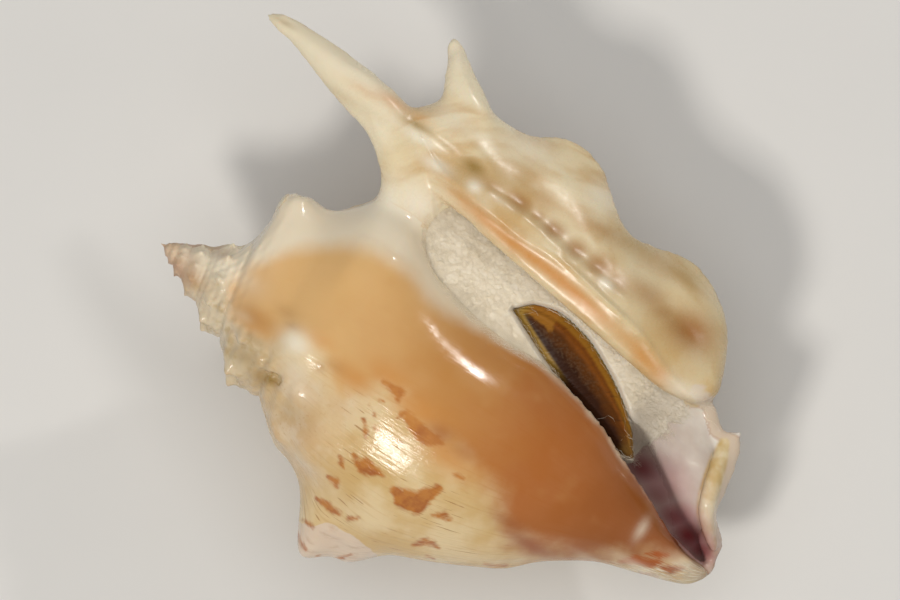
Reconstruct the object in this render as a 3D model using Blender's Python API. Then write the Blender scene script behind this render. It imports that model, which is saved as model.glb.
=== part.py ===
"""A spider conch shell lying on its back, with its operculum set on cotton wool in the aperture.

The shell is one grown piece: a knobbed spire and body whorl that coil round an axis, the hollow
last whorl, its thick outer lip with two long digits, and the open canal at the front end.
It is shaped in its own growth frame, in millimetres: +X runs down the coiling axis from the
apex, +Y points to the outer lip and +Z out of the aperture. The REST values then lay it down.
"""

import math
from functools import partial

import bmesh
import bpy
import numpy as np
from mathutils import Matrix, Vector

MM = 0.001

# Driving dimensions, in millimetres
SHELL_LENGTH = 151.0
WALL = 3.2
LIP_ROLL = 4.6
LIP_RIM = 2.6
FUSE_VOXEL = 1.0
KEPT_FACES = 0.054

# How the shell lies on its back: turned about the coiling axis, pitched, and moved over the floor
REST_TURN = 2.8
REST_PITCH = 4.1
REST_SHIFT = (-72.6, -16.0, 43.45)

# The body's radius round the coiling axis, as (distance from the apex, radius), on four sides
FRONT = [(0, 0.4), (18, 10.5), (30, 17.5), (44, 23.5), (56, 27), (68, 28.8), (80, 28.6), (92, 26.6),
         (104, 22.5), (114, 17.8), (124, 13), (134, 8.6), (144, 5.6), (151, 0.6)]
LEFT = [(0, 0.4), (18, 10.4), (30, 17.2), (44, 24.2), (56, 30), (66, 34.5), (76, 36.5), (86, 34),
        (95, 30.6), (104, 26.2), (111, 20.9), (119, 15.6), (127, 11.2), (137, 8.4), (148, 4.7), (151, 0.8)]
BACK = [(0, 0.4), (18, 10.6), (30, 18), (44, 25.5), (56, 32), (68, 36), (80, 36), (92, 33),
        (104, 28.5), (116, 23), (128, 16.5), (138, 11.5), (146, 8), (151, 0.8)]
RIGHT = [(0, 0.4), (16, 9), (30, 17.5), (44, 27), (56, 34), (68, 37.5), (80, 37.5), (92, 35.5),
         (104, 32), (116, 27), (128, 20), (138, 13.5), (146, 8.5), (151, 0.8)]
COLUMELLA = [(0, 0.4), (46, 20), (60, 14), (80, 11), (100, 9), (120, 6.5), (138, 3.6), (151, 0.4)]

# The edge of the glossy callus, along the spire and then along the aperture, as (x, y, z)
CALLUS_EDGE = [(0, 0.4, 0.2), (16.6, 8.6, 3), (18.6, 14, 3.5), (19.6, 19, 3.6), (20.3, 26.6, 3.8),
               (22, 27.8, 3.9), (24.5, 28.1, 4), (28, 27.7, 4.5), (33, 29.3, 6), (37, 32, 8), (42, 36, 10),
               (48, 36.5, 12), (54, 31.7, 14), (60, 27.6, 15.5), (67, 24.9, 16), (80, 22.6, 15.8),
               (91, 22, 15), (100, 20, 13.5), (111, 16.6, 11), (120, 12.2, 8), (130, 7.5, 5), (138, 3.4, 3),
               (145, 0.8, 1.6), (151, 0.3, 0.4)]

# The last whorl's wall past the body, as (x, y, z) on its outer face: where it bends, and its rim
WALL_BEND = [(34, 29, -4), (40, 34, -2), (48, 38.5, 0), (60, 41, 2), (80, 41.5, 3), (100, 38, 3),
             (115, 34, 3), (126, 29, 2), (131, 26, 1), (137, 22, 0), (141, 17, -1), (144, 8, -2),
             (149, 2.5, -4), (151, 1.2, -3)]
WALL_RIM = [(34, 31, 2), (37, 34, 6), (40, 41, 8), (44, 50, 8), (50, 54, 8), (60, 52, 9), (80, 50, 10),
            (100, 46, 10), (115, 41, 10), (126, 36, 8), (131, 33.2, 7), (135, 29.8, 7.5), (139, 29, 7.8),
            (141.4, 24, 7.6), (142.6, 17, 7.2), (144, 11, 6.2), (147, 8.2, 4), (149, 5.6, 1), (151, 1.6, -1)]

# The thick lip: its edge in the aperture and its lobed outer edge, as (x, y, z)
LIP_INNER = [(34.5, 57, 8), (37, 53.5, 9), (41, 47.5, 10.5), (48.5, 43.6, 12.5), (58, 41.6, 14.5),
             (67, 40, 16), (76, 38.4, 17), (86, 36.6, 17.2), (98, 34.5, 16.8), (110, 32.3, 15.4),
             (119, 31, 13.4), (126, 31.8, 11), (129, 34, 9.6), (130.6, 36.4, 9)]
LIP_OUTER = [(34.5, 58.6, 8), (37.3, 60.4, 8), (41, 65, 8), (46, 67.6, 8), (53, 66.7, 7.5), (59, 66.5, 6.5),
             (63.6, 67.5, 5), (68, 70, 4), (73, 70.8, 3.4), (79, 69.2, 4), (83.5, 66.3, 5), (89.4, 61.1, 6.6),
             (94, 58.9, 7), (99, 59.1, 6.4), (104, 60.3, 5), (109, 60.9, 4), (115.4, 58.9, 4), (120, 56, 4.4),
             (125, 51.2, 5.4), (127.6, 46, 6.6), (129.6, 41, 7.6), (130.6, 38, 8.6)]

# Fingers of shell, as (x, y, z, half width, half thickness) from root to tip: the two digits, the
# posterior channel's lining between the body and the lip, the edge of the wall in front of the lip
# with its spike, and the rolled rim that stands inside that edge
LONG_DIGIT = [(50, 17, 9, 6.5, 5), (48, 28, 11, 7, 5), (45.6, 37, 10.4, 7.4, 4.6), (42, 43.6, 10.4, 7.2, 4.4),
              (36, 49, 10.6, 6.1, 4.4), (29.8, 52.8, 10.4, 6.0, 4.3), (23, 54.5, 9.6, 5.6, 4),
              (16, 56.1, 8.6, 4.9, 3.6), (8.6, 57.8, 7, 3.8, 2.9), (1.7, 59, 5, 2.7, 2.2),
              (-3.5, 59.1, 3.2, 1.9, 1.6), (-5.9, 58.8, 2.3, 0.8, 0.7)]
SHORT_DIGIT = [(51, 57.5, 11, 6.5, 3.2), (45, 64.4, 9.4, 6, 3.4), (41, 69, 7.4, 4.2, 3.1),
               (37.5, 73.3, 5.2, 2.8, 2.4), (35.2, 75.5, 3.6, 2.0, 1.9), (33.7, 77, 2.8, 0.9, 0.8)]
POSTERIOR_CHANNEL = [(42, 46.5, 8.6, 2.4, 2.4), (46, 43.4, 8.8, 3.6, 2.5), (50, 41, 8.2, 3, 2.2)]
FRONT_EDGE = [(126, 35, 8, 1.4, 1.6), (130.8, 33.2, 7, 1.4, 1.5), (134.6, 29.9, 7.4, 1.4, 1.4),
              (137.6, 29.2, 8, 1.4, 1.4), (140, 29.2, 8, 1.4, 1.4), (141.6, 24.6, 7.6, 1.4, 1.4),
              (142.6, 19, 7.2, 1.4, 1.5), (143, 14.4, 6.8, 1.4, 1.5), (144.4, 11, 6, 1.4, 1.5),
              (147.4, 8.6, 3.4, 1.4, 1.4), (149, 6.4, 0.6, 1.4, 1.4), (149.4, 2, -2, 1.4, 1.4)]
SPIKE = [(136.5, 28.5, 8, 1.8, 1.4), (138.6, 30.4, 8.4, 1.4, 1.2), (140.2, 32.4, 8.8, 0.5, 0.5)]
ROLLED_RIM = [(137.6, 28, 8.4, 1.2, 1.2), (138.4, 24.6, 9.4, 1.9, 1.7), (139.6, 20, 10.2, 2.2, 2.2),
              (141, 15, 10.2, 2.2, 2.4), (142.6, 11.4, 9.2, 2, 2.4), (145.4, 8.2, 7.4, 1.6, 2.2),
              (147.6, 6.2, 5.4, 1.2, 1.8), (149, 5, 3.6, 0.8, 1.2)]

# Knobs, as (x, turn angle, height, reach along the axis, reach round it)
KNOBS = [(66, 93, 11.2, 6, 9), (76, 98, 5, 5.6, 9), (63, 148, 10.5, 8, 9), (64, 212, 11, 8.5, 9.5),
         (70, 258, 4, 9, 9), (97, 180, 6, 6.5, 7.5), (94, 138, 3.2, 6, 7), (101, 224, 3.6, 6, 7),
         (39.6, 10, 3, 6, 6), (56, 50, 3, 7, 7)]
CORDS = [(112, 1.5, 4)]
CORD_KNOBS_PER_TURN = 12

# Spire: how much a whorl grows in one turn, a shoulder's distance from the apex, and its relief
WHORL_GROWTH = 1.65
SHOULDER = 18.3
SHOULDER_ANGLE = 90.0
STEP = 0.075
SUTURE = 0.06
NODULES_PER_TURN = 11
NODULE = 0.06

# The operculum's two edges and its level, and the cotton wool's span, as (x, value)
OPERCULUM_OUTER = [(79.2, 29.6), (83, 32.9), (89, 34.3), (96.7, 32.9), (104.4, 29.3), (111.1, 25.1),
                   (117.7, 19.5), (121.2, 14.4)]
OPERCULUM_INNER = [(79.2, 29.2), (84.1, 26.7), (91.7, 23.0), (101, 19.0), (111.3, 15.6), (119.5, 12.8),
                   (121.2, 13.8)]
OPERCULUM_LEVEL = [(79, 12.6), (91, 11.8), (100, 10.4), (111, 7.8), (121.2, 4.6)]
OPERCULUM_THICKNESS = 1.6
COTTON_DEPTH = [(56, 8), (60, 14), (80, 20), (100, 17), (111, 12), (118, 8), (123, 3)]
COTTON_BELOW_EDGE = 5.0
COTTON_GAP = 1.9
COTTON_SOFTENING = 3

# Angles round the axis: 0 faces out of the aperture, 90 is the left side and 180 the back
CAVITY_END = 112.0
CAVITY_FADE = 22.0
RIGHT_ANGLE = 250.0
WALL_START = 98.0
WALL_LEAVES_BODY = 252.0


def smooth_value(points, at, column=1):
    """A smooth curve with no overshoot through (x, value...) points, read at the places given."""
    x = np.array([p[0] for p in points], float)
    y = np.array([p[column] for p in points], float)
    step, rise = np.diff(x), np.diff(y)
    slope = rise / step
    same_sign = slope[:-1] * slope[1:] > 0
    total = np.where(same_sign, slope[:-1] + slope[1:], 1.0)
    inner = np.where(same_sign, 2 * slope[:-1] * slope[1:] / total, 0.0)
    tangent = np.concatenate([slope[:1], inner, slope[-1:]])
    at = np.clip(np.asarray(at, float), x[0], x[-1])
    i = np.clip(np.searchsorted(x, at) - 1, 0, len(step) - 1)
    t = (at - x[i]) / step[i]
    rest = (3 - 2 * t) * t * t
    bend = step[i] * ((1 - t) ** 2 * t * tangent[i] - (1 - t) * t * t * tangent[i + 1])
    return y[i] + rise[i] * rest + bend


def ease(low, high, value):
    """0 below low, 1 above high, and smooth between."""
    t = np.clip((value - low) / (high - low), 0, 1)
    return t * t * (3 - 2 * t)


def turned_by(angle, centre):
    """The angle from a centre, from -180 to 180 degrees."""
    return (angle - centre + 180) % 360 - 180


def whorl_relief(x, angle):
    """The steps, sutures and nodules of the spire, as a share of the radius."""
    turns = np.log(np.maximum(x, 0.5) / SHOULDER) / math.log(WHORL_GROWTH) - (angle - SHOULDER_ANGLE) / 360
    place = turns - np.floor(turns + 0.5)
    step = STEP * np.cos(2 * math.pi * place) - SUTURE * np.exp(-(((np.abs(place) - 0.5) / 0.07) ** 2))
    nodule = NODULE * np.exp(-((place / 0.16) ** 2)) * np.cos(np.radians(NODULES_PER_TURN * angle))
    from_front, from_edge = turned_by(angle, 0), turned_by(angle, 300)
    glazed = ease(17, 24, x) * ease(-75, -45, from_front) * (1 - ease(30, 70, from_front))
    glazed = np.maximum(glazed, ease(20, 34, x) * (from_edge > -60) * (from_edge < 40))
    return (step + nodule) * (1 - ease(40, 54, x)) * (1 - 0.8 * glazed)


def knob_relief(x, angle, radius):
    """The height of the shoulder knobs and of the beaded cords below them."""
    relief = np.zeros_like(radius)
    for at, turn, height, along, around in KNOBS:
        away = np.radians(turned_by(angle, turn)) * radius
        relief += height * np.exp(-(((x - at) / along) ** 2) - (away / around) ** 2)
    on_back = ease(60, 100, angle % 360) * (1 - ease(250, 285, angle % 360))
    for at, height, reach in CORDS:
        bead = 0.6 + 0.4 * np.cos(np.radians(CORD_KNOBS_PER_TURN * angle))
        centre = at + 0.03 * (angle % 360 - 180)
        relief += height * bead * np.exp(-(((x - centre) / reach) ** 2)) * on_back
    return relief


def edge_angle(x):
    """The angle round the axis at which the callus ends in its edge over the aperture."""
    return 360 - np.degrees(np.arctan2(smooth_value(CALLUS_EDGE, x), smooth_value(CALLUS_EDGE, x, 2)))


def outer_radius(x, angle):
    """The radius of the shell's outside round the coiling axis, before the lip leaves the body."""
    x, angle = np.broadcast_arrays(np.asarray(x, float), np.asarray(angle, float) % 360)
    keys = [np.zeros_like(x), np.full_like(x, 90.0), np.full_like(x, 180.0), np.full_like(x, RIGHT_ANGLE),
            edge_angle(x), np.full_like(x, 360.0)]
    front = smooth_value(FRONT, x)
    edge = np.hypot(smooth_value(CALLUS_EDGE, x), smooth_value(CALLUS_EDGE, x, 2))
    values = [front, smooth_value(LEFT, x), smooth_value(BACK, x), smooth_value(RIGHT, x), edge, front]
    radius = np.zeros_like(x)
    for low, high, first, second in zip(keys, keys[1:], values, values[1:]):
        inside = (angle >= low) & (angle <= high)
        turn = 0.5 - 0.5 * np.cos(math.pi * np.clip((angle - low) / (high - low), 0, 1))
        radius = np.where(inside, first + (second - first) * turn, radius)
    return radius * (1 + whorl_relief(x, angle)) + knob_relief(x, angle, radius)


def body_radius(x, angle):
    """The same, but cut back to the columella where the last whorl is hollow."""
    x, angle = np.broadcast_arrays(np.asarray(x, float), np.asarray(angle, float) % 360)
    edge = edge_angle(x)
    hollow = ease(CAVITY_END, CAVITY_END + CAVITY_FADE, angle) * (1 - ease(edge - 12, edge - 1, angle))
    hollow = hollow * ease(47, 60, x)
    return outer_radius(x, angle) * (1 - hollow) + smooth_value(COLUMELLA, x) * hollow


def loft(mesh, rings):
    """Adds a closed skin through rings of points, with both ends capped."""
    rows = [[mesh.verts.new(Vector(point) * MM) for point in ring] for ring in rings]
    count = len(rows[0])
    for first, second in zip(rows, rows[1:]):
        for i in range(count):
            j = (i + 1) % count
            mesh.faces.new((first[i], first[j], second[j], second[i]))
    mesh.faces.new(list(reversed(rows[0])))
    mesh.faces.new(rows[-1])


def coil(mesh, length=SHELL_LENGTH, rows=170, around=180):
    """The spire and body whorl, as rings round the coiling axis."""
    angles = np.arange(around) * 360.0 / around
    rings = []
    for x in length * (np.arange(rows) / (rows - 1)) ** 1.15:
        radius = body_radius(x, angles)
        turn = np.radians(angles)
        rings.append([(x, -r * math.sin(a), r * math.cos(a)) for r, a in zip(radius, turn)])
    loft(mesh, rings)


def smooth_path(points, count):
    """A path of evenly spaced points on a smooth curve through (y, z) points."""
    points = np.array(points, float)
    length = np.concatenate([[0], np.cumsum(np.hypot(*np.diff(points, axis=0).T))])
    at = np.linspace(0, length[-1], count)
    return np.column_stack([smooth_value(list(zip(length, points[:, k])), at) for k in (0, 1)])


def offset_inward(path, thickness):
    """The path moved to its left by the thickness at each point."""
    along = np.gradient(path, axis=0)
    along /= np.linalg.norm(along, axis=1)[:, None]
    return path + np.column_stack([-along[:, 1], along[:, 0]]) * np.asarray(thickness)[:, None]


def wall_path(x, count):
    """The outer face of the last whorl's wall at one place along the axis, from the left side to its rim."""
    angles = np.linspace(WALL_START, WALL_LEAVES_BODY, 14)
    radius = outer_radius(x, angles)
    turn = np.radians(angles)
    outside = list(zip(-radius * np.sin(turn), radius * np.cos(turn)))
    outside.append((smooth_value(WALL_BEND, x), smooth_value(WALL_BEND, x, 2)))
    outside.append((smooth_value(WALL_RIM, x), smooth_value(WALL_RIM, x, 2)))
    return smooth_path(outside, count)


def last_whorl_wall(mesh, rows=110, count=46):
    """The thin outer wall of the hollow last whorl, which flares into the lip and the front canal."""
    first, last = WALL_BEND[0][0], WALL_BEND[-1][0]
    rings = []
    for x in last - (last - first) * (1 - np.arange(rows) / (rows - 1)) ** 1.6:
        path = wall_path(x, count)
        inside = offset_inward(path, np.full(count, WALL * min(1.0, 0.35 + (last - x) / 20)))
        rings.append([(x, y, z) for y, z in [*path, *inside[::-1]]])
    loft(mesh, rings)


def lip_relief(x, share):
    """The second ridge on the lip and the row of dimples beside it."""
    ridge = 1.3 * np.exp(-(((share - 0.26) / 0.06) ** 2)) * ease(46, 52, x) * (1 - ease(104, 116, x))
    dimples = sum(
        depth * np.exp(-(((x - at) / reach) ** 2) - ((share - across) / 0.11) ** 2)
        for at, across, depth, reach in ((50, 0.34, 3.6, 5), (63, 0.42, 1.3, 3), (71, 0.42, 1.6, 3.4),
                                         (80, 0.42, 1.7, 4), (90, 0.45, 1.6, 4.5), (113, 0.6, 1.6, 7)))
    groove = 2.2 * np.exp(-(((share - 0.3) / 0.1) ** 2)) * (1 - ease(44, 52, x))
    return ridge - dimples - groove


def thick_lip(mesh, rows=110, count=56):
    """The thickened lip, from the digits to its round end at the notch."""
    first, last = LIP_INNER[0][0], LIP_INNER[-1][0]
    turn = np.arange(count) * 2 * math.pi / count
    share = 0.5 - 0.5 * np.cos(turn)
    rings = []
    for x in first + (last - first) * (0.5 - 0.5 * np.cos(np.linspace(0, math.pi, rows))):
        inner = [float(smooth_value(LIP_INNER, x, k)) for k in (1, 2)]
        outer = [float(smooth_value(LIP_OUTER, x, k)) for k in (1, 2)]
        width = outer[0] - inner[0]
        y = inner[0] + width * share
        middle = inner[1] + (outer[1] - inner[1]) * share + 2.2 * np.sin(math.pi * share) ** 1.2
        half = (LIP_ROLL + (LIP_RIM - LIP_ROLL) * share) * min(1.0, width / 10)
        swell = np.sign(np.sin(turn)) * np.abs(np.sin(turn)) ** 0.62
        z = middle + half * swell + np.where(swell > 0, lip_relief(x, share), 0) * min(1.0, width / 14)
        rings.append([(x, b, c) for b, c in zip(y, z)])
    loft(mesh, rings)


def finger(mesh, points, rows=40, count=28):
    """A tapering finger of shell, oval in section."""
    place = np.array([p[:3] for p in points], float)
    length = np.concatenate([[0], np.cumsum(np.linalg.norm(np.diff(place, axis=0), axis=1))])
    at = np.linspace(0, length[-1], rows)
    values = [smooth_value([(s, p[k]) for s, p in zip(length, points)], at) for k in range(5)]
    rings = []
    centres = np.column_stack(values[:3])
    forward = np.gradient(centres, axis=0)
    for centre, along, half_width, half_depth in zip(centres, forward, values[3], values[4]):
        along = Vector(along).normalized()
        side = along.cross(Vector((0, 0, 1))).normalized()
        up = side.cross(along)
        ring = []
        for i in range(count):
            a = 2 * math.pi * i / count
            ring.append(Vector(centre) + side * half_width * math.cos(a) + up * half_depth * math.sin(a))
        rings.append(ring)
    loft(mesh, rings)


def operculum_form(mesh, rows=24, count=14):
    """The horny plate, claw-shaped and slightly domed, thin at its edges."""
    first, last = OPERCULUM_OUTER[0][0], OPERCULUM_OUTER[-1][0]
    turn = np.arange(count) * 2 * math.pi / count
    rings = []
    for x in first + (last - first) * (0.5 - 0.5 * np.cos(np.linspace(0, math.pi, rows))):
        low, high = smooth_value(OPERCULUM_INNER, x), smooth_value(OPERCULUM_OUTER, x)
        share = 0.5 - 0.5 * np.cos(turn)
        y = low + (high - low) * share
        level = smooth_value(OPERCULUM_LEVEL, x) + 0.6 * np.sin(math.pi * share) * min(1.0, (high - low) / 8)
        half = OPERCULUM_THICKNESS / 2 * min(1.0, 0.25 + (high - low) / 6)
        rings.append([(x, b, c) for b, c in zip(y, level + half * np.sin(turn))])
    loft(mesh, rings)


def cotton_form(mesh, rows=20, count=24):
    """The cotton wool's mass: it fills the aperture out to the columella, the lip and the wall."""
    turn = np.arange(count) * 2 * math.pi / count
    reach = np.linspace(0.5, 30, 60)
    rings = []
    for x in np.linspace(COTTON_DEPTH[0][0], COTTON_DEPTH[-1][0], rows):
        edge_y, top = smooth_value(CALLUS_EDGE, x), smooth_value(CALLUS_EDGE, x, 2) - COTTON_BELOW_EDGE
        lip_y, lip_z = smooth_value(LIP_INNER, x), smooth_value(LIP_INNER, x, 2)
        depth = smooth_value(COTTON_DEPTH, x)
        middle_y, middle_z = 0.5 * (edge_y + min(lip_y, smooth_value(WALL_BEND, x) - WALL)), top - depth / 2
        y = middle_y + np.cos(turn)[:, None] * reach
        z = middle_z + np.sin(turn)[:, None] * reach
        wall = wall_path(x, 60)
        to_wall = np.hypot(y[..., None] - wall[:, 0], z[..., None] - wall[:, 1]).min(axis=-1)
        angle = np.degrees(np.arctan2(-y, z))
        free = (to_wall > WALL + COTTON_GAP) & (np.hypot(y, z) > body_radius(x, angle) + COTTON_GAP)
        free &= (z < top) & (z > top - depth)
        free &= (y < lip_y - COTTON_GAP) | (z < lip_z - 1.4 * LIP_ROLL - COTTON_GAP)
        open_run = np.cumprod(free, axis=1).sum(axis=1)
        radius = reach[np.maximum(open_run - 1, 0)]
        for _ in range(COTTON_SOFTENING):
            radius = np.minimum(radius, 0.5 * radius + 0.25 * (np.roll(radius, 1) + np.roll(radius, -1)))
        y, z = middle_y + radius * np.cos(turn), middle_z + radius * np.sin(turn)
        rings.append([(x, b, c) for b, c in zip(y, z)])
    loft(mesh, rings)


def finish_material(name, colour, roughness):
    """A plain Principled material."""
    material = bpy.data.materials.new(name)
    material.use_nodes = True
    shader = material.node_tree.nodes["Principled BSDF"]
    shader.inputs["Base Color"].default_value = (*colour, 1)
    shader.inputs["Roughness"].default_value = roughness
    shader.inputs["Metallic"].default_value = 0
    return material


def solid(name, forms, colour, roughness):
    """One named object from the given forms, turned and moved to where it lies."""
    mesh = bmesh.new()
    for form in forms:
        part = bmesh.new()
        form(part)
        bmesh.ops.recalc_face_normals(part, faces=part.faces)
        data = bpy.data.meshes.new(name)
        part.to_mesh(data)
        part.free()
        mesh.from_mesh(data)
        bpy.data.meshes.remove(data)
    turned = Matrix.Rotation(math.radians(REST_TURN), 4, "X")
    pitched = Matrix.Rotation(math.radians(REST_PITCH), 4, "Y")
    place = Matrix.Translation(Vector(REST_SHIFT) * MM) @ turned @ pitched
    bmesh.ops.transform(mesh, matrix=place, verts=mesh.verts)
    data = bpy.data.meshes.new(name)
    mesh.to_mesh(data)
    mesh.free()
    data.materials.append(finish_material(name, colour, roughness))
    made = bpy.data.objects.new(name, data)
    bpy.context.scene.collection.objects.link(made)
    return made


def below_floor():
    """A hidden block under the floor, which cuts the worn flats that the back rests on."""
    mesh = bmesh.new()
    bmesh.ops.create_cube(mesh, size=0.4)
    bmesh.ops.translate(mesh, vec=(0, 0, -0.2), verts=mesh.verts)
    data = bpy.data.meshes.new("below_floor")
    mesh.to_mesh(data)
    mesh.free()
    block = bpy.data.objects.new("below_floor", data)
    block.hide_render = True
    block.display_type = "WIRE"
    bpy.context.scene.collection.objects.link(block)
    return block


def shell():
    """All of the shell's forms fused by a voxel remesh, thinned, and cut flat where it rests."""
    paths = (LONG_DIGIT, SHORT_DIGIT, POSTERIOR_CHANNEL, FRONT_EDGE, SPIKE, ROLLED_RIM)
    fingers = [partial(finger, points=points) for points in paths]
    made = solid("shell", [coil, last_whorl_wall, thick_lip, *fingers], (0.83, 0.62, 0.38), 0.25)
    fuse = made.modifiers.new("fuse", "REMESH")
    fuse.mode = "VOXEL"
    fuse.voxel_size = FUSE_VOXEL * MM
    soften = made.modifiers.new("soften", "SMOOTH")
    soften.factor = 0.5
    soften.iterations = 5
    thin = made.modifiers.new("thin", "DECIMATE")
    thin.ratio = KEPT_FACES
    cut = made.modifiers.new("worn flats", "BOOLEAN")
    cut.operation = "DIFFERENCE"
    cut.solver = "EXACT"
    cut.object = below_floor()


for old in list(bpy.data.objects):
    bpy.data.objects.remove(old)

shell()
solid("operculum", [operculum_form], (0.11, 0.045, 0.02), 0.35)
solid("cotton_plug", [cotton_form], (0.86, 0.84, 0.78), 0.95)
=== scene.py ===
import math

import bpy
import numpy as np
from mathutils import Matrix, Vector


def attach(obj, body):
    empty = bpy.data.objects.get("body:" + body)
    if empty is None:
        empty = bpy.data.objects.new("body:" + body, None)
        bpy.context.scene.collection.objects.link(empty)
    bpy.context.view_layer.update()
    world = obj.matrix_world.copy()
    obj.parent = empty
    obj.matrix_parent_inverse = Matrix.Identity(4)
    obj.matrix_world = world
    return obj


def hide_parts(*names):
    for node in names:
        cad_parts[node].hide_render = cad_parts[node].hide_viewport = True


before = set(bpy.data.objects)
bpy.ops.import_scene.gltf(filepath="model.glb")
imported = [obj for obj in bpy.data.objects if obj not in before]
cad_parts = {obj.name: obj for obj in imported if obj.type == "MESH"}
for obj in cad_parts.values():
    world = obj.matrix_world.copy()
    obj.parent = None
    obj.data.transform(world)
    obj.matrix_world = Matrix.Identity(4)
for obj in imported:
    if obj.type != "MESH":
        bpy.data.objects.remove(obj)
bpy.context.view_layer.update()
bpy.ops.object.select_all(action="DESELECT")

# The shell: one grown piece of layered lime, laid down by the animal as it coiled from the apex.
# A knobbed body whorl carries a thin, flaring wall that ends in a thick lip with two long digits.
# The side of the aperture is glazed with porcelain callus; the back keeps the dull outer layer.

# The curves are in millimetres in the shell's growth frame: +X runs down the coiling axis from the
# apex, +Y points to the outer lip and +Z out of the aperture. LAID_DOWN then lays it on its back.
MM = 0.001
SHELL_LENGTH = 151.0
WALL = 3.2
LIP_ROLL = 4.6
LIP_RIM = 2.6
FUSE_VOXEL = 1.0
LAID_DOWN = (Matrix.Translation(Vector((-72.6, -16.0, 43.45)) * MM)
             @ Matrix.Rotation(math.radians(2.8), 4, "X") @ Matrix.Rotation(math.radians(4.1), 4, "Y"))

# The body's radius round the coiling axis, as (distance from the apex, radius), on four sides
FRONT = [(0, 0.4), (18, 10.5), (30, 17.5), (44, 23.5), (56, 27), (68, 28.8), (80, 28.6), (92, 26.6),
         (104, 22.5), (114, 17.8), (124, 13), (134, 8.6), (144, 5.6), (151, 0.6)]
LEFT = [(0, 0.4), (18, 10.4), (30, 17.2), (44, 24.2), (56, 30), (66, 34.5), (76, 36.5), (86, 34),
        (95, 30.6), (104, 26.2), (111, 20.9), (119, 15.6), (127, 11.2), (137, 8.4), (148, 4.7), (151, 0.8)]
BACK = [(0, 0.4), (18, 10.6), (30, 18), (44, 25.5), (56, 32), (68, 36), (80, 36), (92, 33), (104, 28.5),
        (116, 23), (128, 16.5), (138, 11.5), (146, 8), (151, 0.8)]
RIGHT = [(0, 0.4), (16, 9), (30, 17.5), (44, 27), (56, 34), (68, 37.5), (80, 37.5), (92, 35.5), (104, 32),
         (116, 27), (128, 20), (138, 13.5), (146, 8.5), (151, 0.8)]
COLUMELLA = [(0, 0.4), (46, 20), (60, 14), (80, 11), (100, 9), (120, 6.5), (138, 3.6), (151, 0.4)]

# The edge of the glossy callus, along the spire and then along the aperture, as (x, y, z)
CALLUS_EDGE = [(0, 0.4, 0.2), (16.6, 8.6, 3), (18.6, 14, 3.5), (19.6, 19, 3.6), (20.3, 26.6, 3.8),
               (22, 27.8, 3.9), (24.5, 28.1, 4), (28, 27.7, 4.5), (33, 29.3, 6), (37, 32, 8), (42, 36, 10),
               (48, 36.5, 12), (54, 31.7, 14), (60, 27.6, 15.5), (67, 24.9, 16), (80, 22.6, 15.8),
               (91, 22, 15), (100, 20, 13.5), (111, 16.6, 11), (120, 12.2, 8), (130, 7.5, 5), (138, 3.4, 3),
               (145, 0.8, 1.6), (151, 0.3, 0.4)]

# The last whorl's wall past the body, as (x, y, z) on its outer face: where it bends, and its rim
WALL_BEND = [(34, 29, -4), (40, 34, -2), (48, 38.5, 0), (60, 41, 2), (80, 41.5, 3), (100, 38, 3),
             (115, 34, 3), (126, 29, 2), (131, 26, 1), (137, 22, 0), (141, 17, -1), (144, 8, -2),
             (149, 2.5, -4), (151, 1.2, -3)]
WALL_RIM = [(34, 31, 2), (37, 34, 6), (40, 41, 8), (44, 50, 8), (50, 54, 8), (60, 52, 9), (80, 50, 10),
            (100, 46, 10), (115, 41, 10), (126, 36, 8), (131, 33.2, 7), (135, 29.8, 7.5), (139, 29, 7.8),
            (141.4, 24, 7.6), (142.6, 17, 7.2), (144, 11, 6.2), (147, 8.2, 4), (149, 5.6, 1),
            (151, 1.6, -1)]

# The thick lip: its edge in the aperture and its lobed outer edge, as (x, y, z)
LIP_INNER = [(34.5, 57, 8), (37, 53.5, 9), (41, 47.5, 10.5), (48.5, 43.6, 12.5), (58, 41.6, 14.5),
             (67, 40, 16), (76, 38.4, 17), (86, 36.6, 17.2), (98, 34.5, 16.8), (110, 32.3, 15.4),
             (119, 31, 13.4), (126, 31.8, 11), (129, 34, 9.6), (130.6, 36.4, 9)]
LIP_OUTER = [(34.5, 58.6, 8), (37.3, 60.4, 8), (41, 65, 8), (46, 67.6, 8), (53, 66.7, 7.5), (59, 66.5, 6.5),
             (63.6, 67.5, 5), (68, 70, 4), (73, 70.8, 3.4), (79, 69.2, 4), (83.5, 66.3, 5),
             (89.4, 61.1, 6.6), (94, 58.9, 7), (99, 59.1, 6.4), (104, 60.3, 5), (109, 60.9, 4),
             (115.4, 58.9, 4), (120, 56, 4.4), (125, 51.2, 5.4), (127.6, 46, 6.6), (129.6, 41, 7.6),
             (130.6, 38, 8.6)]

# Fingers of shell, as (x, y, z, half width, half thickness) from root to tip: the two digits, the
# edge of the wall in front of the lip with its spike, the rolled rim that stands inside that edge, and
# the lining of the posterior channel
LONG_DIGIT = [(50, 17, 9, 6.5, 5), (48, 28, 11, 7, 5), (45.6, 37, 10.4, 7.4, 4.6),
              (42, 43.6, 10.4, 7.2, 4.4), (36, 49, 10.6, 6.1, 4.4), (29.8, 52.8, 10.4, 6.0, 4.3),
              (23, 54.5, 9.6, 5.6, 4), (16, 56.1, 8.6, 4.9, 3.6), (8.6, 57.8, 7, 3.8, 2.9),
              (1.7, 59, 5, 2.7, 2.2), (-3.5, 59.1, 3.2, 1.9, 1.6), (-5.9, 58.8, 2.3, 0.8, 0.7)]
SHORT_DIGIT = [(51, 57.5, 11, 6.5, 3.2), (45, 64.4, 9.4, 6, 3.4), (41, 69, 7.4, 4.2, 3.1),
               (37.5, 73.3, 5.2, 2.8, 2.4), (35.2, 75.5, 3.6, 2.0, 1.9), (33.7, 77, 2.8, 0.9, 0.8)]
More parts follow.
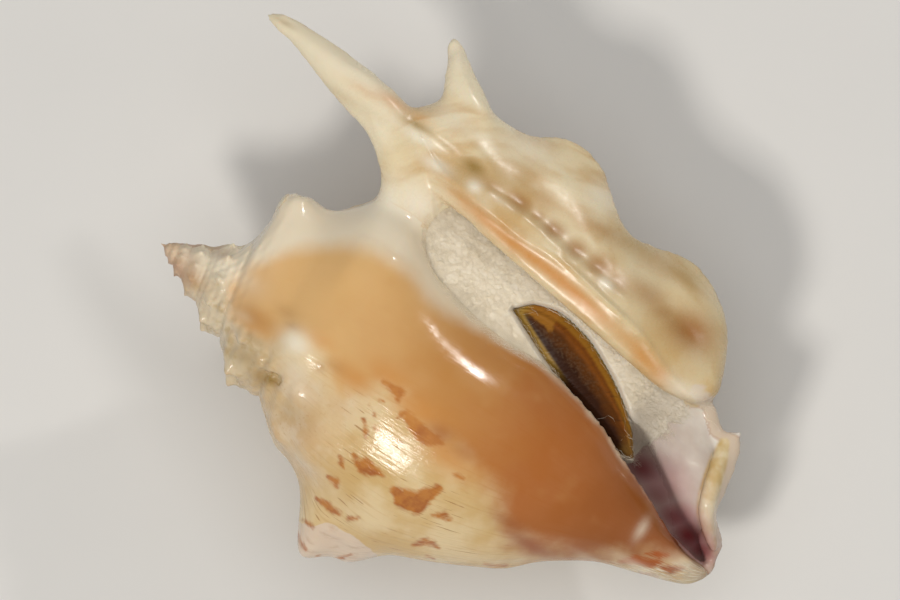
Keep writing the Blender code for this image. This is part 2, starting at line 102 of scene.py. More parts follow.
FRONT_EDGE = [(126, 35, 8, 1.4, 1.6), (130.8, 33.2, 7, 1.4, 1.5), (134.6, 29.9, 7.4, 1.4, 1.4),
              (137.6, 29.2, 8, 1.4, 1.4), (140, 29.2, 8, 1.4, 1.4), (141.6, 24.6, 7.6, 1.4, 1.4),
              (142.6, 19, 7.2, 1.4, 1.5), (143, 14.4, 6.8, 1.4, 1.5), (144.4, 11, 6, 1.4, 1.5),
              (147.4, 8.6, 3.4, 1.4, 1.4), (149, 6.4, 0.6, 1.4, 1.4), (149.4, 2, -2, 1.4, 1.4)]
SPIKE = [(136.5, 28.5, 8, 1.8, 1.4), (138.6, 30.4, 8.4, 1.4, 1.2), (140.2, 32.4, 8.8, 0.5, 0.5)]
ROLLED_RIM = [(137.6, 28, 8.4, 1.2, 1.2), (138.4, 24.6, 9.4, 1.9, 1.7), (139.6, 20, 10.2, 2.2, 2.2),
              (141, 15, 10.2, 2.2, 2.4), (142.6, 11.4, 9.2, 2, 2.4), (145.4, 8.2, 7.4, 1.6, 2.2),
              (147.6, 6.2, 5.4, 1.2, 1.8), (149, 5, 3.6, 0.8, 1.2)]
POSTERIOR_CHANNEL = [(42, 46.5, 8.6, 2.4, 2.4), (47, 43, 8.8, 4, 2.6), (53, 39.4, 7.8, 4.6, 2.6),
                     (59, 36, 5.6, 4, 2.4), (65, 34, 2.6, 2.6, 1.6)]

# The lip's broad hollows, as (x, share across the lip, depth, reach along it)
LIP_HOLLOWS = [(50, 0.34, 2.6, 5), (63, 0.46, 0.4, 4), (71, 0.46, 0.5, 5), (80, 0.46, 0.6, 5),
               (90, 0.48, 0.6, 5), (113, 0.6, 1.8, 8)]

# Knobs, as (x, angle round the axis, height, reach along the axis, reach round it). The angle is
# 0 out of the aperture, 90 on the left side and 180 on the back.
KNOBS = [(66, 93, 11.2, 6, 9), (76, 98, 5, 5.6, 9), (63, 148, 10.5, 8, 9), (64, 212, 11, 8.5, 9.5),
         (70, 258, 4, 9, 9), (97, 180, 6, 6.5, 7.5), (94, 138, 3.2, 6, 7), (101, 224, 3.6, 6, 7),
         (39.6, 10, 3, 6, 6), (56, 50, 3, 7, 7)]

# The beaded cord below the knobs; the spire's growth in one turn, and a place on its shoulder; its
# steps, sutures and nodules as shares of the radius; and the angles round the axis at which the
# hollow ends on the left, the right side lies, the wall starts and the wall leaves the body
CORD_AT, CORD_HEIGHT, CORD_REACH = 112, 1.5, 4
CORD_KNOBS_PER_TURN = 12
WHORL_GROWTH = 1.65
SHOULDER, SHOULDER_ANGLE = 18.3, 90.0
STEP = 0.075
SUTURE = 0.06
NODULES_PER_TURN = 11
NODULE = 0.06
CAVITY_END, CAVITY_FADE = 112.0, 22.0
RIGHT_ANGLE = 250.0
WALL_START = 98.0
WALL_LEAVES_BODY = 252.0


def smooth_value(points, at, column=1):
    """A smooth curve with no overshoot through (x, value...) points, read at the places given."""
    x = np.array([p[0] for p in points], float)
    y = np.array([p[column] for p in points], float)
    step, rise = np.diff(x), np.diff(y)
    slope = rise / step
    same_sign = slope[:-1] * slope[1:] > 0
    total = np.where(same_sign, slope[:-1] + slope[1:], 1.0)
    inner = np.where(same_sign, 2 * slope[:-1] * slope[1:] / total, 0.0)
    tangent = np.concatenate([slope[:1], inner, slope[-1:]])
    at = np.clip(np.asarray(at, float), x[0], x[-1])
    i = np.clip(np.searchsorted(x, at) - 1, 0, len(step) - 1)
    t = (at - x[i]) / step[i]
    rest = (3 - 2 * t) * t * t
    bend = step[i] * ((1 - t) ** 2 * t * tangent[i] - (1 - t) * t * t * tangent[i + 1])
    return y[i] + rise[i] * rest + bend


def ease(low, high, value):
    """0 below low, 1 above high, and smooth between."""
    t = np.clip((value - low) / (high - low), 0, 1)
    return t * t * (3 - 2 * t)


def hump(value, centre, reach):
    """A rounded rise of height 1."""
    return np.exp(-(((value - centre) / reach) ** 2))


def mound(x, y, at_x, at_y, reach_x, reach_y):
    """A rounded oval rise of height 1."""
    return np.exp(-(((x - at_x) / reach_x) ** 2) - ((y - at_y) / reach_y) ** 2)


def curve_at(points, x):
    """The y and z of a curve of (x, y, z) points."""
    return smooth_value(points, x), smooth_value(points, x, 2)


def turned_by(angle, centre):
    """The angle from a centre, from -180 to 180 degrees."""
    return (angle - centre + 180) % 360 - 180


def whorls(x, angle):
    """How many whorls lie behind each point, and its place across its own, from -0.5 to 0.5."""
    turns = np.log(np.maximum(x, 0.5) / SHOULDER) / math.log(WHORL_GROWTH) - (angle - SHOULDER_ANGLE) / 360
    return turns, turns - np.floor(turns + 0.5)


def whorl_relief(x, angle):
    """The steps, sutures and nodules of the spire, as a share of the radius."""
    place = whorls(x, angle)[1]
    step = STEP * np.cos(2 * math.pi * place) - SUTURE * hump(np.abs(place), 0.5, 0.07)
    nodule = NODULE * hump(place, 0, 0.16) * np.cos(np.radians(NODULES_PER_TURN * angle))
    to_front, to_right = turned_by(angle, 0), turned_by(angle, 300)
    glazed = ease(17, 24, x) * ease(-75, -45, to_front) * (1 - ease(30, 70, to_front))
    glazed = np.maximum(glazed, ease(20, 34, x) * (to_right > -60) * (to_right < 40))
    return (step + nodule) * (1 - ease(40, 54, x)) * (1 - 0.8 * glazed)


def knob_relief(x, angle, radius):
    """The height of the shoulder knobs and of the beaded cord below them."""
    relief = np.zeros_like(radius)
    for at, turn, height, along, around in KNOBS:
        away = np.radians(turned_by(angle, turn)) * radius
        relief += height * mound(x, away, at, 0, along, around)
    on_back = ease(60, 100, angle % 360) * (1 - ease(250, 285, angle % 360))
    bead = 0.6 + 0.4 * np.cos(np.radians(CORD_KNOBS_PER_TURN * angle))
    centre = CORD_AT + 0.03 * (angle % 360 - 180)
    return relief + CORD_HEIGHT * bead * hump(x, centre, CORD_REACH) * on_back


def edge_angle(x):
    """The angle round the axis at which the callus ends in its edge over the aperture."""
    return 360 - np.degrees(np.arctan2(*curve_at(CALLUS_EDGE, x)))


def outer_radius(x, angle):
    """The radius of the shell's outside round the coiling axis, before the lip leaves the body."""
    x, angle = np.broadcast_arrays(np.asarray(x, float), np.asarray(angle, float) % 360)
    keys = [np.zeros_like(x), np.full_like(x, 90.0), np.full_like(x, 180.0), np.full_like(x, RIGHT_ANGLE),
            edge_angle(x), np.full_like(x, 360.0)]
    front = smooth_value(FRONT, x)
    edge = np.hypot(*curve_at(CALLUS_EDGE, x))
    values = [front, smooth_value(LEFT, x), smooth_value(BACK, x), smooth_value(RIGHT, x), edge, front]
    radius = np.zeros_like(x)
    for low, high, first, second in zip(keys, keys[1:], values, values[1:]):
        inside = (angle >= low) & (angle <= high)
        turn = 0.5 - 0.5 * np.cos(math.pi * np.clip((angle - low) / (high - low), 0, 1))
        radius = np.where(inside, first + (second - first) * turn, radius)
    return radius * (1 + whorl_relief(x, angle)) + knob_relief(x, angle, radius)


def coil_shape(along, turn):
    """The spire and body whorl, cut back to the columella where the last whorl is hollow."""
    x, angle = SHELL_LENGTH * along ** 1.15, 360 * turn
    edge = edge_angle(x)
    hollow = ease(CAVITY_END, CAVITY_END + CAVITY_FADE, angle) * (1 - ease(edge - 12, edge - 1, angle))
    hollow = hollow * ease(47, 60, x)
    radius = outer_radius(x, angle) * (1 - hollow) + smooth_value(COLUMELLA, x) * hollow
    return np.column_stack([x, -radius * np.sin(2 * math.pi * turn), radius * np.cos(2 * math.pi * turn)])


def smooth_path(points, count):
    """A path of evenly spaced points on a smooth curve through (y, z) points."""
    points = np.array(points, float)
    length = np.concatenate([[0], np.cumsum(np.hypot(*np.diff(points, axis=0).T))])
    at = np.linspace(0, length[-1], count)
    return np.column_stack([smooth_value(list(zip(length, points[:, k])), at) for k in (0, 1)])


def headings(path):
    """The unit direction of a path at each of its points."""
    forward = np.gradient(path, axis=0)
    return forward / np.linalg.norm(forward, axis=1)[:, None]


def inner_face(path, share=1.0):
    """The inner face of the wall, from its outer face and a share of its full thickness."""
    forward = headings(path)
    return path + np.column_stack([-forward[:, 1], forward[:, 0]]) * WALL * share


def wall_path(x, count):
    """The wall's outer face at one place along the axis, from under the left side to its rim."""
    angles = np.linspace(WALL_START, WALL_LEAVES_BODY, 14)
    radius = outer_radius(x, angles)
    turn = np.radians(angles)
    outside = list(zip(-radius * np.sin(turn), radius * np.cos(turn)))
    return smooth_path(outside + [curve_at(WALL_BEND, x), curve_at(WALL_RIM, x)], count)


def wall_shape(along, turn, around=112):
    """The thin outer wall of the hollow last whorl, which flares into the lip and the front canal."""
    first, last = WALL_BEND[0][0], WALL_BEND[-1][0]
    place = np.zeros((len(along), 3))
    for row in np.unique(along):
        x = last - (last - first) * (1 - row) ** 1.6
        path = wall_path(x, around // 2)
        inside = inner_face(path, min(1.0, 0.35 + (last - x) / 20))
        ring = np.vstack([path, inside[::-1], path[:1]])
        at = along == row
        place[at, 0] = x
        place[at, 1:] = ring[np.rint(turn[at] * around).astype(int)]
    return place


def lip_relief(x, share):
    """The second ridge on the lip, the row of hollows beside it and the groove behind them."""
    ridge = 1.3 * hump(share, 0.26, 0.06) * ease(46, 52, x) * (1 - ease(104, 116, x))
    hollows = sum(depth * mound(x, share, at, across, reach, 0.11)
                  for at, across, depth, reach in LIP_HOLLOWS)
    groove = 2.2 * hump(share, 0.3, 0.1) * (1 - ease(44, 52, x))
    return ridge - hollows - groove


def closer_at_ends(points, along):
    """Places from a curve's first x to its last, closer together towards its ends."""
    first, last = points[0][0], points[-1][0]
    return first + (last - first) * (0.5 - 0.5 * np.cos(math.pi * along))


def section(turn):
    """The way round a flat section: the share across it, there and back, and up (1) or down (-1)."""
    return 0.5 - 0.5 * np.cos(2 * math.pi * turn), np.sin(2 * math.pi * turn)


def lip_shape(along, turn):
    """The thickened lip, from the digits to its round end at the notch."""
    x = closer_at_ends(LIP_INNER, along)
    share, side = section(turn)
    inner_y, inner_z = curve_at(LIP_INNER, x)
    outer_y, outer_z = curve_at(LIP_OUTER, x)
    width = outer_y - inner_y
    middle = inner_z + (outer_z - inner_z) * share + 2.2 * np.sin(math.pi * share) ** 1.2
    half = (LIP_ROLL + (LIP_RIM - LIP_ROLL) * share) * np.minimum(1.0, width / 10)
    swell = np.sign(side) * np.abs(side) ** 0.62
    z = middle + half * swell + np.where(swell > 0, lip_relief(x, share), 0) * np.minimum(1.0, width / 14)
    return np.column_stack([x, inner_y + width * share, z])


def finger_shape(along, turn, points):
    """A tapering finger of shell, oval in section."""
    place = np.array([p[:3] for p in points], float)
    length = np.concatenate([[0], np.cumsum(np.linalg.norm(np.diff(place, axis=0), axis=1))])
    fine = np.linspace(0, 1, 200)
    values = [smooth_value([(s, p[k]) for s, p in zip(length, points)], fine * length[-1]) for k in range(5)]
    centre = np.column_stack(values[:3])
    forward = headings(centre)
    side = np.cross(forward, (0, 0, 1))
    side /= np.linalg.norm(side, axis=1)[:, None]
    up = np.cross(side, forward)
    at = np.rint(along * 199).astype(int)
    wide, deep = values[3][at] * np.cos(2 * math.pi * turn), values[4][at] * np.sin(2 * math.pi * turn)
    return centre[at] + side[at] * wide[:, None] + up[at] * deep[:, None]


def points_of(piece):
    """A piece's points, in millimetres."""
    place = np.empty(len(piece.data.vertices) * 3)
    piece.data.vertices.foreach_get("co", place)
    return place.reshape(-1, 3) / MM


def move_points(piece, place):
    """Puts a piece's points at the given places, in millimetres."""
    piece.data.vertices.foreach_set("co", (place * MM).ravel())
    piece.data.update()


def rolled_sheet(name, rows, around, shape):
    """A grid whose points are moved to a rolled-up form, with its seam welded and its ends filled."""
    bpy.ops.mesh.primitive_grid_add(x_subdivisions=rows, y_subdivisions=around, size=1)
    made = bpy.context.object
    made.name = name
    along, turn = np.round(points_of(made)[:, :2].T * MM + 0.5, 6)
    move_points(made, shape(along, turn))
    bpy.ops.object.mode_set(mode="EDIT")
    bpy.ops.mesh.select_all(action="SELECT")
    bpy.ops.mesh.remove_doubles(threshold=2e-6)
    bpy.ops.mesh.select_all(action="SELECT")
    bpy.ops.mesh.fill_holes(sides=0)
    bpy.ops.mesh.normals_make_consistent(inside=False)
    bpy.ops.object.mode_set(mode="OBJECT")
    made.select_set(False)
    return made


forms = [rolled_sheet("shell", 230, 240, coil_shape), rolled_sheet("wall", 150, 112, wall_shape),
         rolled_sheet("lip", 150, 90, lip_shape)]
for points in (LONG_DIGIT, SHORT_DIGIT, FRONT_EDGE, SPIKE, ROLLED_RIM, POSTERIOR_CHANNEL):
    forms.append(rolled_sheet("finger", 80, 36, lambda along, turn: finger_shape(along, turn, points)))
for form in forms:
    form.select_set(True)
bpy.context.view_layer.objects.active = forms[0]
bpy.ops.object.join()
shell = bpy.context.object
shell.name = "grown_shell"
fuse = shell.modifiers.new("fuse", "REMESH")
fuse.mode = "VOXEL"
fuse.voxel_size = FUSE_VOXEL * MM
bpy.ops.object.modifier_apply(modifier="fuse")
soften = shell.modifiers.new("soften", "SMOOTH")
soften.factor = 0.5
soften.iterations = 8
bpy.ops.object.modifier_apply(modifier="soften")

# Fine forms that the fused skin is too coarse for: the spire and the front of the lip are divided
# once more, and then the skin is drawn onto the exact outside of the coil, so that the spire's
# nodules, the knobs and the glossy callus run true.
SPIRE_END = 30.0
LIP_RIDGE = [(32.5, 55.6), (34.9, 54.7), (42.8, 50.6), (47.8, 48.2), (56, 46.9), (64.2, 46.0), (71.7, 45.0),
             (80, 44.8), (89.1, 43.4), (97.5, 41.6), (108.1, 39.2), (113.5, 36.9), (119, 34.6), (124, 33.4)]
LIP_WELT = [(55, 49.2), (62, 49.6), (67.2, 49.2), (72.5, 48.6), (77.8, 47.8), (82.4, 46.8), (86.9, 46.2),
            (91.1, 45.8), (95, 45.2), (100, 44.6), (106, 43.6)]
LIP_DIMPLES = [(68.2, 51.6, 2.2, 2.2, 0.5), (73.2, 51.0, 1.8, 1.9, 0.3), (77.6, 50.0, 2.2, 2.2, 0.5),
               (84.5, 48.8, 2.4, 2.2, 0.55), (90.4, 48.0, 2.2, 2.0, 0.4), (96, 47.4, 2.6, 2.0, 0.3),
               (54, 53.2, 4, 2.2, 1.0), (117, 45.4, 7, 4.6, 0.6), (108, 47.6, 5, 2.4, 0.3)]
FRONT_MARKS = [(38.9, -13.6, 2.2, 1.3, -1.7), (36.2, -11.8, 2.4, 0.8, 0.8), (20.8, -5.3, 1.5, 1.5, 0.9),
               (40.6, -9.4, 1.0, 3.0, -0.45), (30.5, -10.6, 4.0, 0.9, -0.55), (26, -8.6, 3.0, 0.8, -0.4),
               (46.5, -13, 1.3, 1.2, 0.3), (51, -9, 1.2, 1.4, 0.25), (45, 2, 3, 2, 0.25),
               (33, -14.5, 3, 1.2, 0.5), (29, -14, 1.2, 1.4, 0.5), (58, -25, 3, 4, -0.5),
               (70.5, -37.2, 5, 1.0, 0.4)]


def normals_of(piece):
    """A piece's point normals."""
    normal = np.empty(len(piece.data.vertices) * 3)
    piece.data.vertex_normals.foreach_get("vector", normal)
    return normal.reshape(-1, 3)


def edit_where(piece, wanted, operator, **settings):
    """Runs a mesh operator on the wanted points of a piece."""
    piece.data.vertices.foreach_set("select", np.asarray(wanted, bool))
    bpy.ops.object.mode_set(mode="EDIT")
    bpy.ops.mesh.select_mode(type="VERT")
    operator(**settings)
    bpy.ops.mesh.select_all(action="DESELECT")
    bpy.ops.object.mode_set(mode="OBJECT")


def divide_where(piece, wanted):
    """Divides the faces whose points are all wanted."""
    edit_where(piece, wanted, bpy.ops.mesh.subdivide, number_cuts=1, smoothness=0.0)


def smooth_where(piece, wanted, rounds):
    """Smooths the wanted points of a piece."""
    edit_where(piece, wanted, bpy.ops.mesh.vertices_smooth, factor=0.5, repeat=rounds)


def between(value, low, high):
    """Where a value is between two others."""
    return (value > low) & (value < high)


def round_axis(y, z):
    """The angle round the coiling axis: 0 out of the aperture, 90 on the left side."""
    return np.degrees(np.arctan2(-y, z)) % 360


def spire_nodules(x, angle):
    """Pointed nodules and fine threads on the unglazed spire, as a share of the radius."""
    turns, place = whorls(x, angle)
    peak = np.maximum(np.cos(np.radians(NODULES_PER_TURN * angle)), 0) ** 2
    relief = 0.12 * (peak - 0.25) * hump(place, 0, 0.14)
    relief += 0.011 * np.cos(2 * math.pi * 5 * place) - 0.03 * hump(np.abs(place), 0.5, 0.05)
    knots = np.sin(angle * 0.31 + 9 * turns) * np.sin(x * 1.9 + angle * 0.12)
    relief += 0.015 * knots * ease(8, 14, x)
    bare = 1 - ease(19, 26, x) * (1 - ease(18, 30, turned_by(angle, 0)))
    return relief * bare * (1 - ease(38, 50, x)) * ease(1, 4, x)


bpy.ops.object.mode_set(mode="EDIT")
bpy.ops.mesh.select_all(action="DESELECT")
bpy.ops.object.mode_set(mode="OBJECT")
x, y, z = points_of(shell).T
divide_where(shell, (x < SPIRE_END) & (y < 12) & (np.hypot(y, z) < 22))
x, y, z = points_of(shell).T
out = normals_of(shell)[:, 2]
divide_where(shell, between(x, 60, 95) & (y < 1.5) & (z > -20) & (out > 0.1) & (np.hypot(y, z) > 24))
x, y, z = points_of(shell).T
out = normals_of(shell)[:, 2]
past_edge = y - smooth_value(LIP_INNER, x)
divide_where(shell, between(past_edge, -1, 24) & between(x, 36, 126) & (z > 5) & (out > 0.1))

# the skin is drawn onto the coil, and then smoothed on the spire, on the front behind the aperture,
# round the knob at the right of the spire, and where the long digit leaves the body
place = points_of(shell)
x, y, z = place.T
angle = round_axis(y, z)
radius = np.hypot(y, z)
off = radius - outer_radius(x, angle)
on_coil = (1 - ease(0.6, 1.2, np.abs(off))) * ((angle < WALL_LEAVES_BODY) | (angle > edge_angle(x) - 1))
on_coil *= ease(1.0, 3.0, x) * (1 - ease(146, 149, x))
place[:, 1:] *= (1 - on_coil * off / np.maximum(radius, 0.1))[:, None]
move_points(shell, place)
for wanted, rounds in ((between(x, 7, 46) & (y < 2), 30), (between(x, 24, 60) & (z > -10), 6),
                       (between(x, 12, 34) & between(y, 10, 36), 28),
                       (between(x, 34, 62) & between(y, 26, 42) & (z > 3), 25)):
    smooth_where(shell, wanted, rounds)

# the rounded knob at the right of the spire stands a little further back, and less far out
place = points_of(shell)
x, y, z = place.T
knob_side = mound(x, y, 21.6, 23.6, 2.6, 3.4) * ease(-18, -12, z)
knob_top = mound(x, y, 22.6, 27.6, 1.6, 1.5)
place[:, 0] -= 1.9 * knob_side
place[:, 1] -= 0.9 * knob_top
move_points(shell, place)
smooth_where(shell, between(x, 15, 29) & between(y, 19, 31) & (z > -24), 14)
place = points_of(shell)
x, y, z = place.T
place[:, 1:] *= (1 + on_coil * spire_nodules(x, round_axis(y, z)))[:, None]
move_points(shell, place)

# the pits and lumps of the front, and the lip's ridge, welt and dimples, are raised along the normals
x, y, z = points_of(shell).T
out = normals_of(shell)[:, 2]
lift = np.zeros(len(x))
for *mark, height in FRONT_MARKS:
    lift += height * mound(x, y, *mark)
past_edge = y - smooth_value(LIP_INNER, x)
on_lip = ease(0.0, 1.0, past_edge) * ease(4, 6, z) * (1 - ease(124, 128, x))
smooth_where(shell, (on_lip > 0.5) & (out > 0.1) & (past_edge > 2), 40)
place, normal = points_of(shell), normals_of(shell)
x, y, z = place.T
ridge = 0.65 * hump(y, smooth_value(LIP_RIDGE, x), 0.95) * ease(30, 36, x)
teeth = 0.85 + 0.15 * np.cos(2 * math.pi * (x - 65.5) / 5.1 + 0.9 * np.sin(x * 0.21))
welt = 0.4 * teeth * hump(y, smooth_value(LIP_WELT, x), 1.4) * ease(54, 59, x)
welt *= 1 - ease(96, 108, x)
dimples = np.zeros(len(place))
for *dimple, depth in LIP_DIMPLES:
    dimples += depth * mound(x, y, *dimple)
lift += (ridge + welt - 0.6 * dimples) * on_lip
place += normal * (lift * ease(0.0, 0.3, normal[:, 2]))[:, None]
move_points(shell, place)
smooth_where(shell, (on_lip > 0.5) & (z > 4), 3)

# Where each colour lies on the front, as soft touches (x, y, reach along, reach across, strength)
WHITE = [(145, -1.5, 4, 2, 0.45), (138, -7.5, 7, 1.2, 0.6), (128, -11.8, 6, 1.0, 0.35),
         (39.6, -3.4, 3.8, 3.0, 0.95), (42.5, -9, 3, 3, 0.45), (48, -13, 4, 3, 0.3),
         (46.2, 49, 4, 1.8, 0.9), (40, 52.5, 6, 1.4, 0.9), (41, 35, 6, 6, 0.95), (48, 39, 7, 5, 0.95),
         (56, 37, 5, 4, 0.9), (56.6, 49.2, 2.0, 1.6, 0.95), (63, 49.4, 4, 0.9, 0.4),
         (83.4, 62.6, 5, 4, 0.6), (62, 64, 9, 4, 0.55), (94.5, 45.6, 2.2, 1.5, 0.9),
         (122.8, 33.4, 6, 2.4, 0.7), (119, 57, 5, 2.6, 0.35), (131.4, 0.8, 1.2, 3.0, 0.5),
         (43.5, 60, 7, 4, 0.5), (18, 57.5, 16, 2.4, 0.4), (36.6, 74, 3, 4, 0.5), (17, 3, 7, 2.4, 0.5),
         (26, -4.5, 2.4, 1.2, 0.2)]
BROWN = [(67.6, 51.8, 3.2, 1.8, 0.75), (73.2, 51, 2.2, 1.4, 0.55), (77.6, 50.2, 3.4, 2.0, 0.85),
         (84.5, 49, 3.2, 2.2, 0.8), (91, 48.4, 3.8, 2.4, 0.8), (97, 47.5, 4, 2.4, 0.6),
         (60, 51.6, 4, 1.4, 0.35), (88, 56, 9, 2.4, 0.4), (103, 56, 8, 3, 0.35),
         (117.5, 46.4, 6.5, 4.6, 1.0), (110, 47, 5, 3, 0.5), (104, 48.6, 7, 3.0, 0.55),
         (28, -3.5, 5, 2.6, 0.4), (37, -0.5, 2, 1.2, 0.45), (34, 1.5, 3, 1.6, 0.25),
         (47.5, -5.2, 1.4, 1.4, 0.45), (50, -3.4, 3, 1.4, 0.3), (72, 55, 6, 2.4, 0.25), (10, -4, 3, 2, 0.4),
         (14, 5, 3, 1.5, 0.35)]
ORANGE_BAND = [(40, 0), (50, 0.25), (60, 0.75), (72, 0.95), (88, 1.0), (97, 0.75), (103, 0.5), (110, 0.75),
               (116, 0.8), (122, 0.1), (130, 0)]
ORANGE = [(30, 56.6, 5, 1.6, 0.7), (37.5, 56.5, 3, 1.4, 0.4), (56, -3.4, 6, 3, 0.7),
          (24, 55.4, 6, 1.2, 0.4), (62, 1, 6, 3, 0.7), (72, -2.5, 7, 3.4, 0.8), (84, -8, 8, 4, 0.75),
          (30, -4, 5, 3, 0.45), (44, 0, 4, 2, 0.4)]
OLIVE = [(-1.6, 59.4, 2.6, 0.7, 0.5), (54, 53.2, 3.4, 1.8, 0.95), (38.1, 54.6, 4.4, 1.2, 0.75),
         (39.0, -13.8, 2.2, 1.6, 1.0), (37, -14.5, 4, 2.4, 0.7), (31, -12.6, 6, 2.4, 0.5),
         (47, -18, 6, 3, 0.3), (62, 56, 8, 4, 0.3), (20, 51.4, 12, 1.4, 0.2), (96, 57, 6, 2.4, 0.4),
         (110, 56.6, 6, 2.4, 0.35), (46, 54.4, 4, 1.2, 0.4), (30, -8, 4, 1, 0.35)]
PURPLE = [(79.5, -4.0, 3.4, 2.2, 0.45), (86, -5, 4, 2, 0.3), (111, -15.8, 8, 1.8, 0.75),
          (104, -14, 5, 1.8, 0.5)]
PINK = [(50, -20, 10, 8, 0.8), (46, -12.5, 8, 5, 0.8), (56, -11, 5, 5, 0.6), (4, 0.0, 5, 3, 0.85),
        (12, -3, 4, 2, 0.5), (58, -14, 3, 4, 0.4), (56, -27, 6, 3, 0.6)]
# Mauve and maroon in the hollow are partly the lining's own wine-red colour and partly painted shade: they
# darken the deep canal and soften the edge of the lamp's shadow there
MAUVE_AND_SHADE = [(129, 12, 9, 6, 0.8), (122, 13, 6, 5, 0.3), (138, 7.5, 6, 4.5, 0.9), (145, 4, 5, 4, 0.9),
         (121, 18, 5, 5, 0.4)]
MAROON_AND_SHADE = [(124.6, 13.0, 4.5, 3.6, 0.9), (131, 9, 5, 3.4, 0.6), (137, 7, 5, 3.4, 0.8), (142, 5, 5, 4, 1.0),
          (121, 15, 4, 3, 0.6), (128, 17, 6, 3, 0.3), (146, 3.5, 4, 3, 0.9)]

# Rust marks in the outer layer, each a stroke of (x, y, half width) from end to end
RUST_STROKES = [
    [(61.6, -0.6, 0.4), (63.9, -0.8, 0.94), (66.1, -0.8, 1.48), (66.9, -2.3, 0.81)],
    [(68.9, -6.2, 0.34), (69.8, -4.0, 0.87), (73.3, -5.6, 1.88), (76.9, -6.5, 2.15), (80.5, -5.9, 0.94)],
    [(64.7, -18.8, 0.6), (66.6, -20.0, 0.94), (68.5, -19.6, 2.08), (70.9, -19.6, 1.34), (73.0, -19.3, 0.47)],
    [(76.8, -20.9, 0.94), (79.8, -21.7, 2.42), (82.9, -20.9, 2.69), (84.2, -17.9, 1.88),
     (85.5, -15.5, 1.07)],
    [(87.4, -21.5, 0.27), (89.8, -20.0, 0.94), (91.5, -20.3, 0.6)],
    [(87.7, -29.6, 0.6), (89.3, -27.7, 0.87), (91.4, -27.3, 0.74), (92.8, -27.4, 0.4)],
    [(62.5, -32.3, 0.6), (65.9, -32.4, 1.01), (68.9, -32.7, 0.6)],
    [(71.2, -32.4, 0.54), (73.0, -31.3, 0.47)],
    [(62.2, -26.6, 0.47), (64.2, -26.4, 1.01), (65.3, -27.4, 0.4)],
    [(62.0, -20.9, 0.4), (63.3, -21.8, 0.74), (64.1, -22.6, 0.34)],
    [(62.4, -10.5, 0.3), (64.2, -12.7, 0.6), (64.9, -14.0, 0.34)],
    [(61.7, -6.8, 0.25), (63.7, -8.0, 0.3), (64.4, -8.8, 0.25)],
    [(63.0, -4.8, 0.27), (64.1, -4.5, 0.25)],
    [(65.6, -10.6, 0.27), (66.5, -11.0, 0.27)],
    [(72.3, -10.4, 0.4), (72.6, -10.4, 0.27)],
    [(69.9, -10.7, 0.25), (70.4, -10.8, 0.25)],
    [(62.6, -41.5, 0.3), (64.3, -43.0, 0.45), (66.5, -44.1, 0.4)],
    [(62.3, -38.4, 0.3), (64.3, -38.4, 0.6), (65.4, -38.6, 0.34)],
    [(69.7, -44.2, 0.3), (73.1, -43.1, 0.35), (74.9, -41.2, 0.4), (76.1, -39.6, 0.25)],
    [(91.4, -30.7, 0.25), (93.3, -30.3, 0.25)],
    [(86.8, -10.8, 0.27), (87.9, -10.5, 0.54), (89.3, -10.3, 0.34)],
    [(104, -25.4, 0.3), (107, -24.2, 0.5), (109, -23.0, 0.3)],
    [(131, -8.6, 0.4), (134, -6.2, 1.3), (137.4, -5.2, 1.2), (139, -3.6, 0.8)],
    [(135.6, -3.4, 0.4), (138, -2.2, 0.9), (140, -1.4, 0.5)],
    [(140, -4.6, 0.6), (142.4, -3.8, 1.1), (144.6, -2.2, 0.6)],
    [(136.6, -8.4, 0.3), (138.8, -7.6, 0.7), (140.4, -7.0, 0.3)],
    [(124, -12.6, 0.3), (126.5, -11.8, 0.5)]]

# The glaze's lower border and the porcelain white's border on the front, as (x, y)
GLAZE_BORDER = [(0, 16), (14, 12), (17, 5), (19, 0), (21.5, -4), (25, -7), (29, -8), (34, -6.5), (38, -4),
                (43, -3), (48, -5), (54, -7.5), (58, -5), (61, -2.5), (64, -1.4), (67, -2), (76, -4.5),
                (86, -6.8), (93, -9.6), (100, -13.4), (107, -17.8), (112, -18.2), (119, -16.2),
                (127, -12.4), (135, -8.0), (140, -5.2), (146, -1.0), (151, 1)]
WHITE_BORDER = [(0, 4), (14, 0.5), (18, 2.4), (21, 6.4), (24, 10.6), (27, 14.4), (30, 17.2), (34, 20.2),
                (42, 24.2), (48, 25.6), (54, 24.6), (60, 22.4), (67, 21.6), (74, 21.4), (84, 21.4),
                (92, 21.4), (100, 19.8), (111, 16.6), (120, 12.6), (130, 8.2), (151, 1.4)]
KNOB_BORDER = [(0, -60), (56, -60), (60, -40), (65, -38), (67.8, -35.6), (74, -35.3), (78, -35.7),
               (82, -36.8), (86, -42), (92, -60), (151, -60)]


# A painted distance goes no further than this, inside a border (+) or outside it (-)
FAR = 20.0


def paint(piece, name, values):
    """Keeps one value at each of a piece's points, for its material to read."""
    layer = piece.data.attributes.new(name, "FLOAT", "POINT")
    layer.data.foreach_set("value", np.asarray(values, np.float32))


def touches(x, y, spots, mask):
    """Soft touches of one colour, each at most its own strength."""
    total = np.zeros(len(x))
    for *spot, strength in spots:
        total = np.maximum(total, strength * mound(x, y, *spot))
    return total * mask


def inside_strokes(x, y, strokes):
    """How far each point is inside the nearest stroke, in millimetres."""
    depth = np.full(len(x), -9.0)
    for stroke in strokes:
        for (x0, y0, r0), (x1, y1, r1) in zip(stroke, stroke[1:]):
            run = (x1 - x0) ** 2 + (y1 - y0) ** 2
            t = np.clip(((x - x0) * (x1 - x0) + (y - y0) * (y1 - y0)) / run, 0, 1)
            away = np.hypot(x - x0 - t * (x1 - x0), y - y0 - t * (y1 - y0))
            depth = np.maximum(depth, r0 + (r1 - r0) * t - away)
    return depth


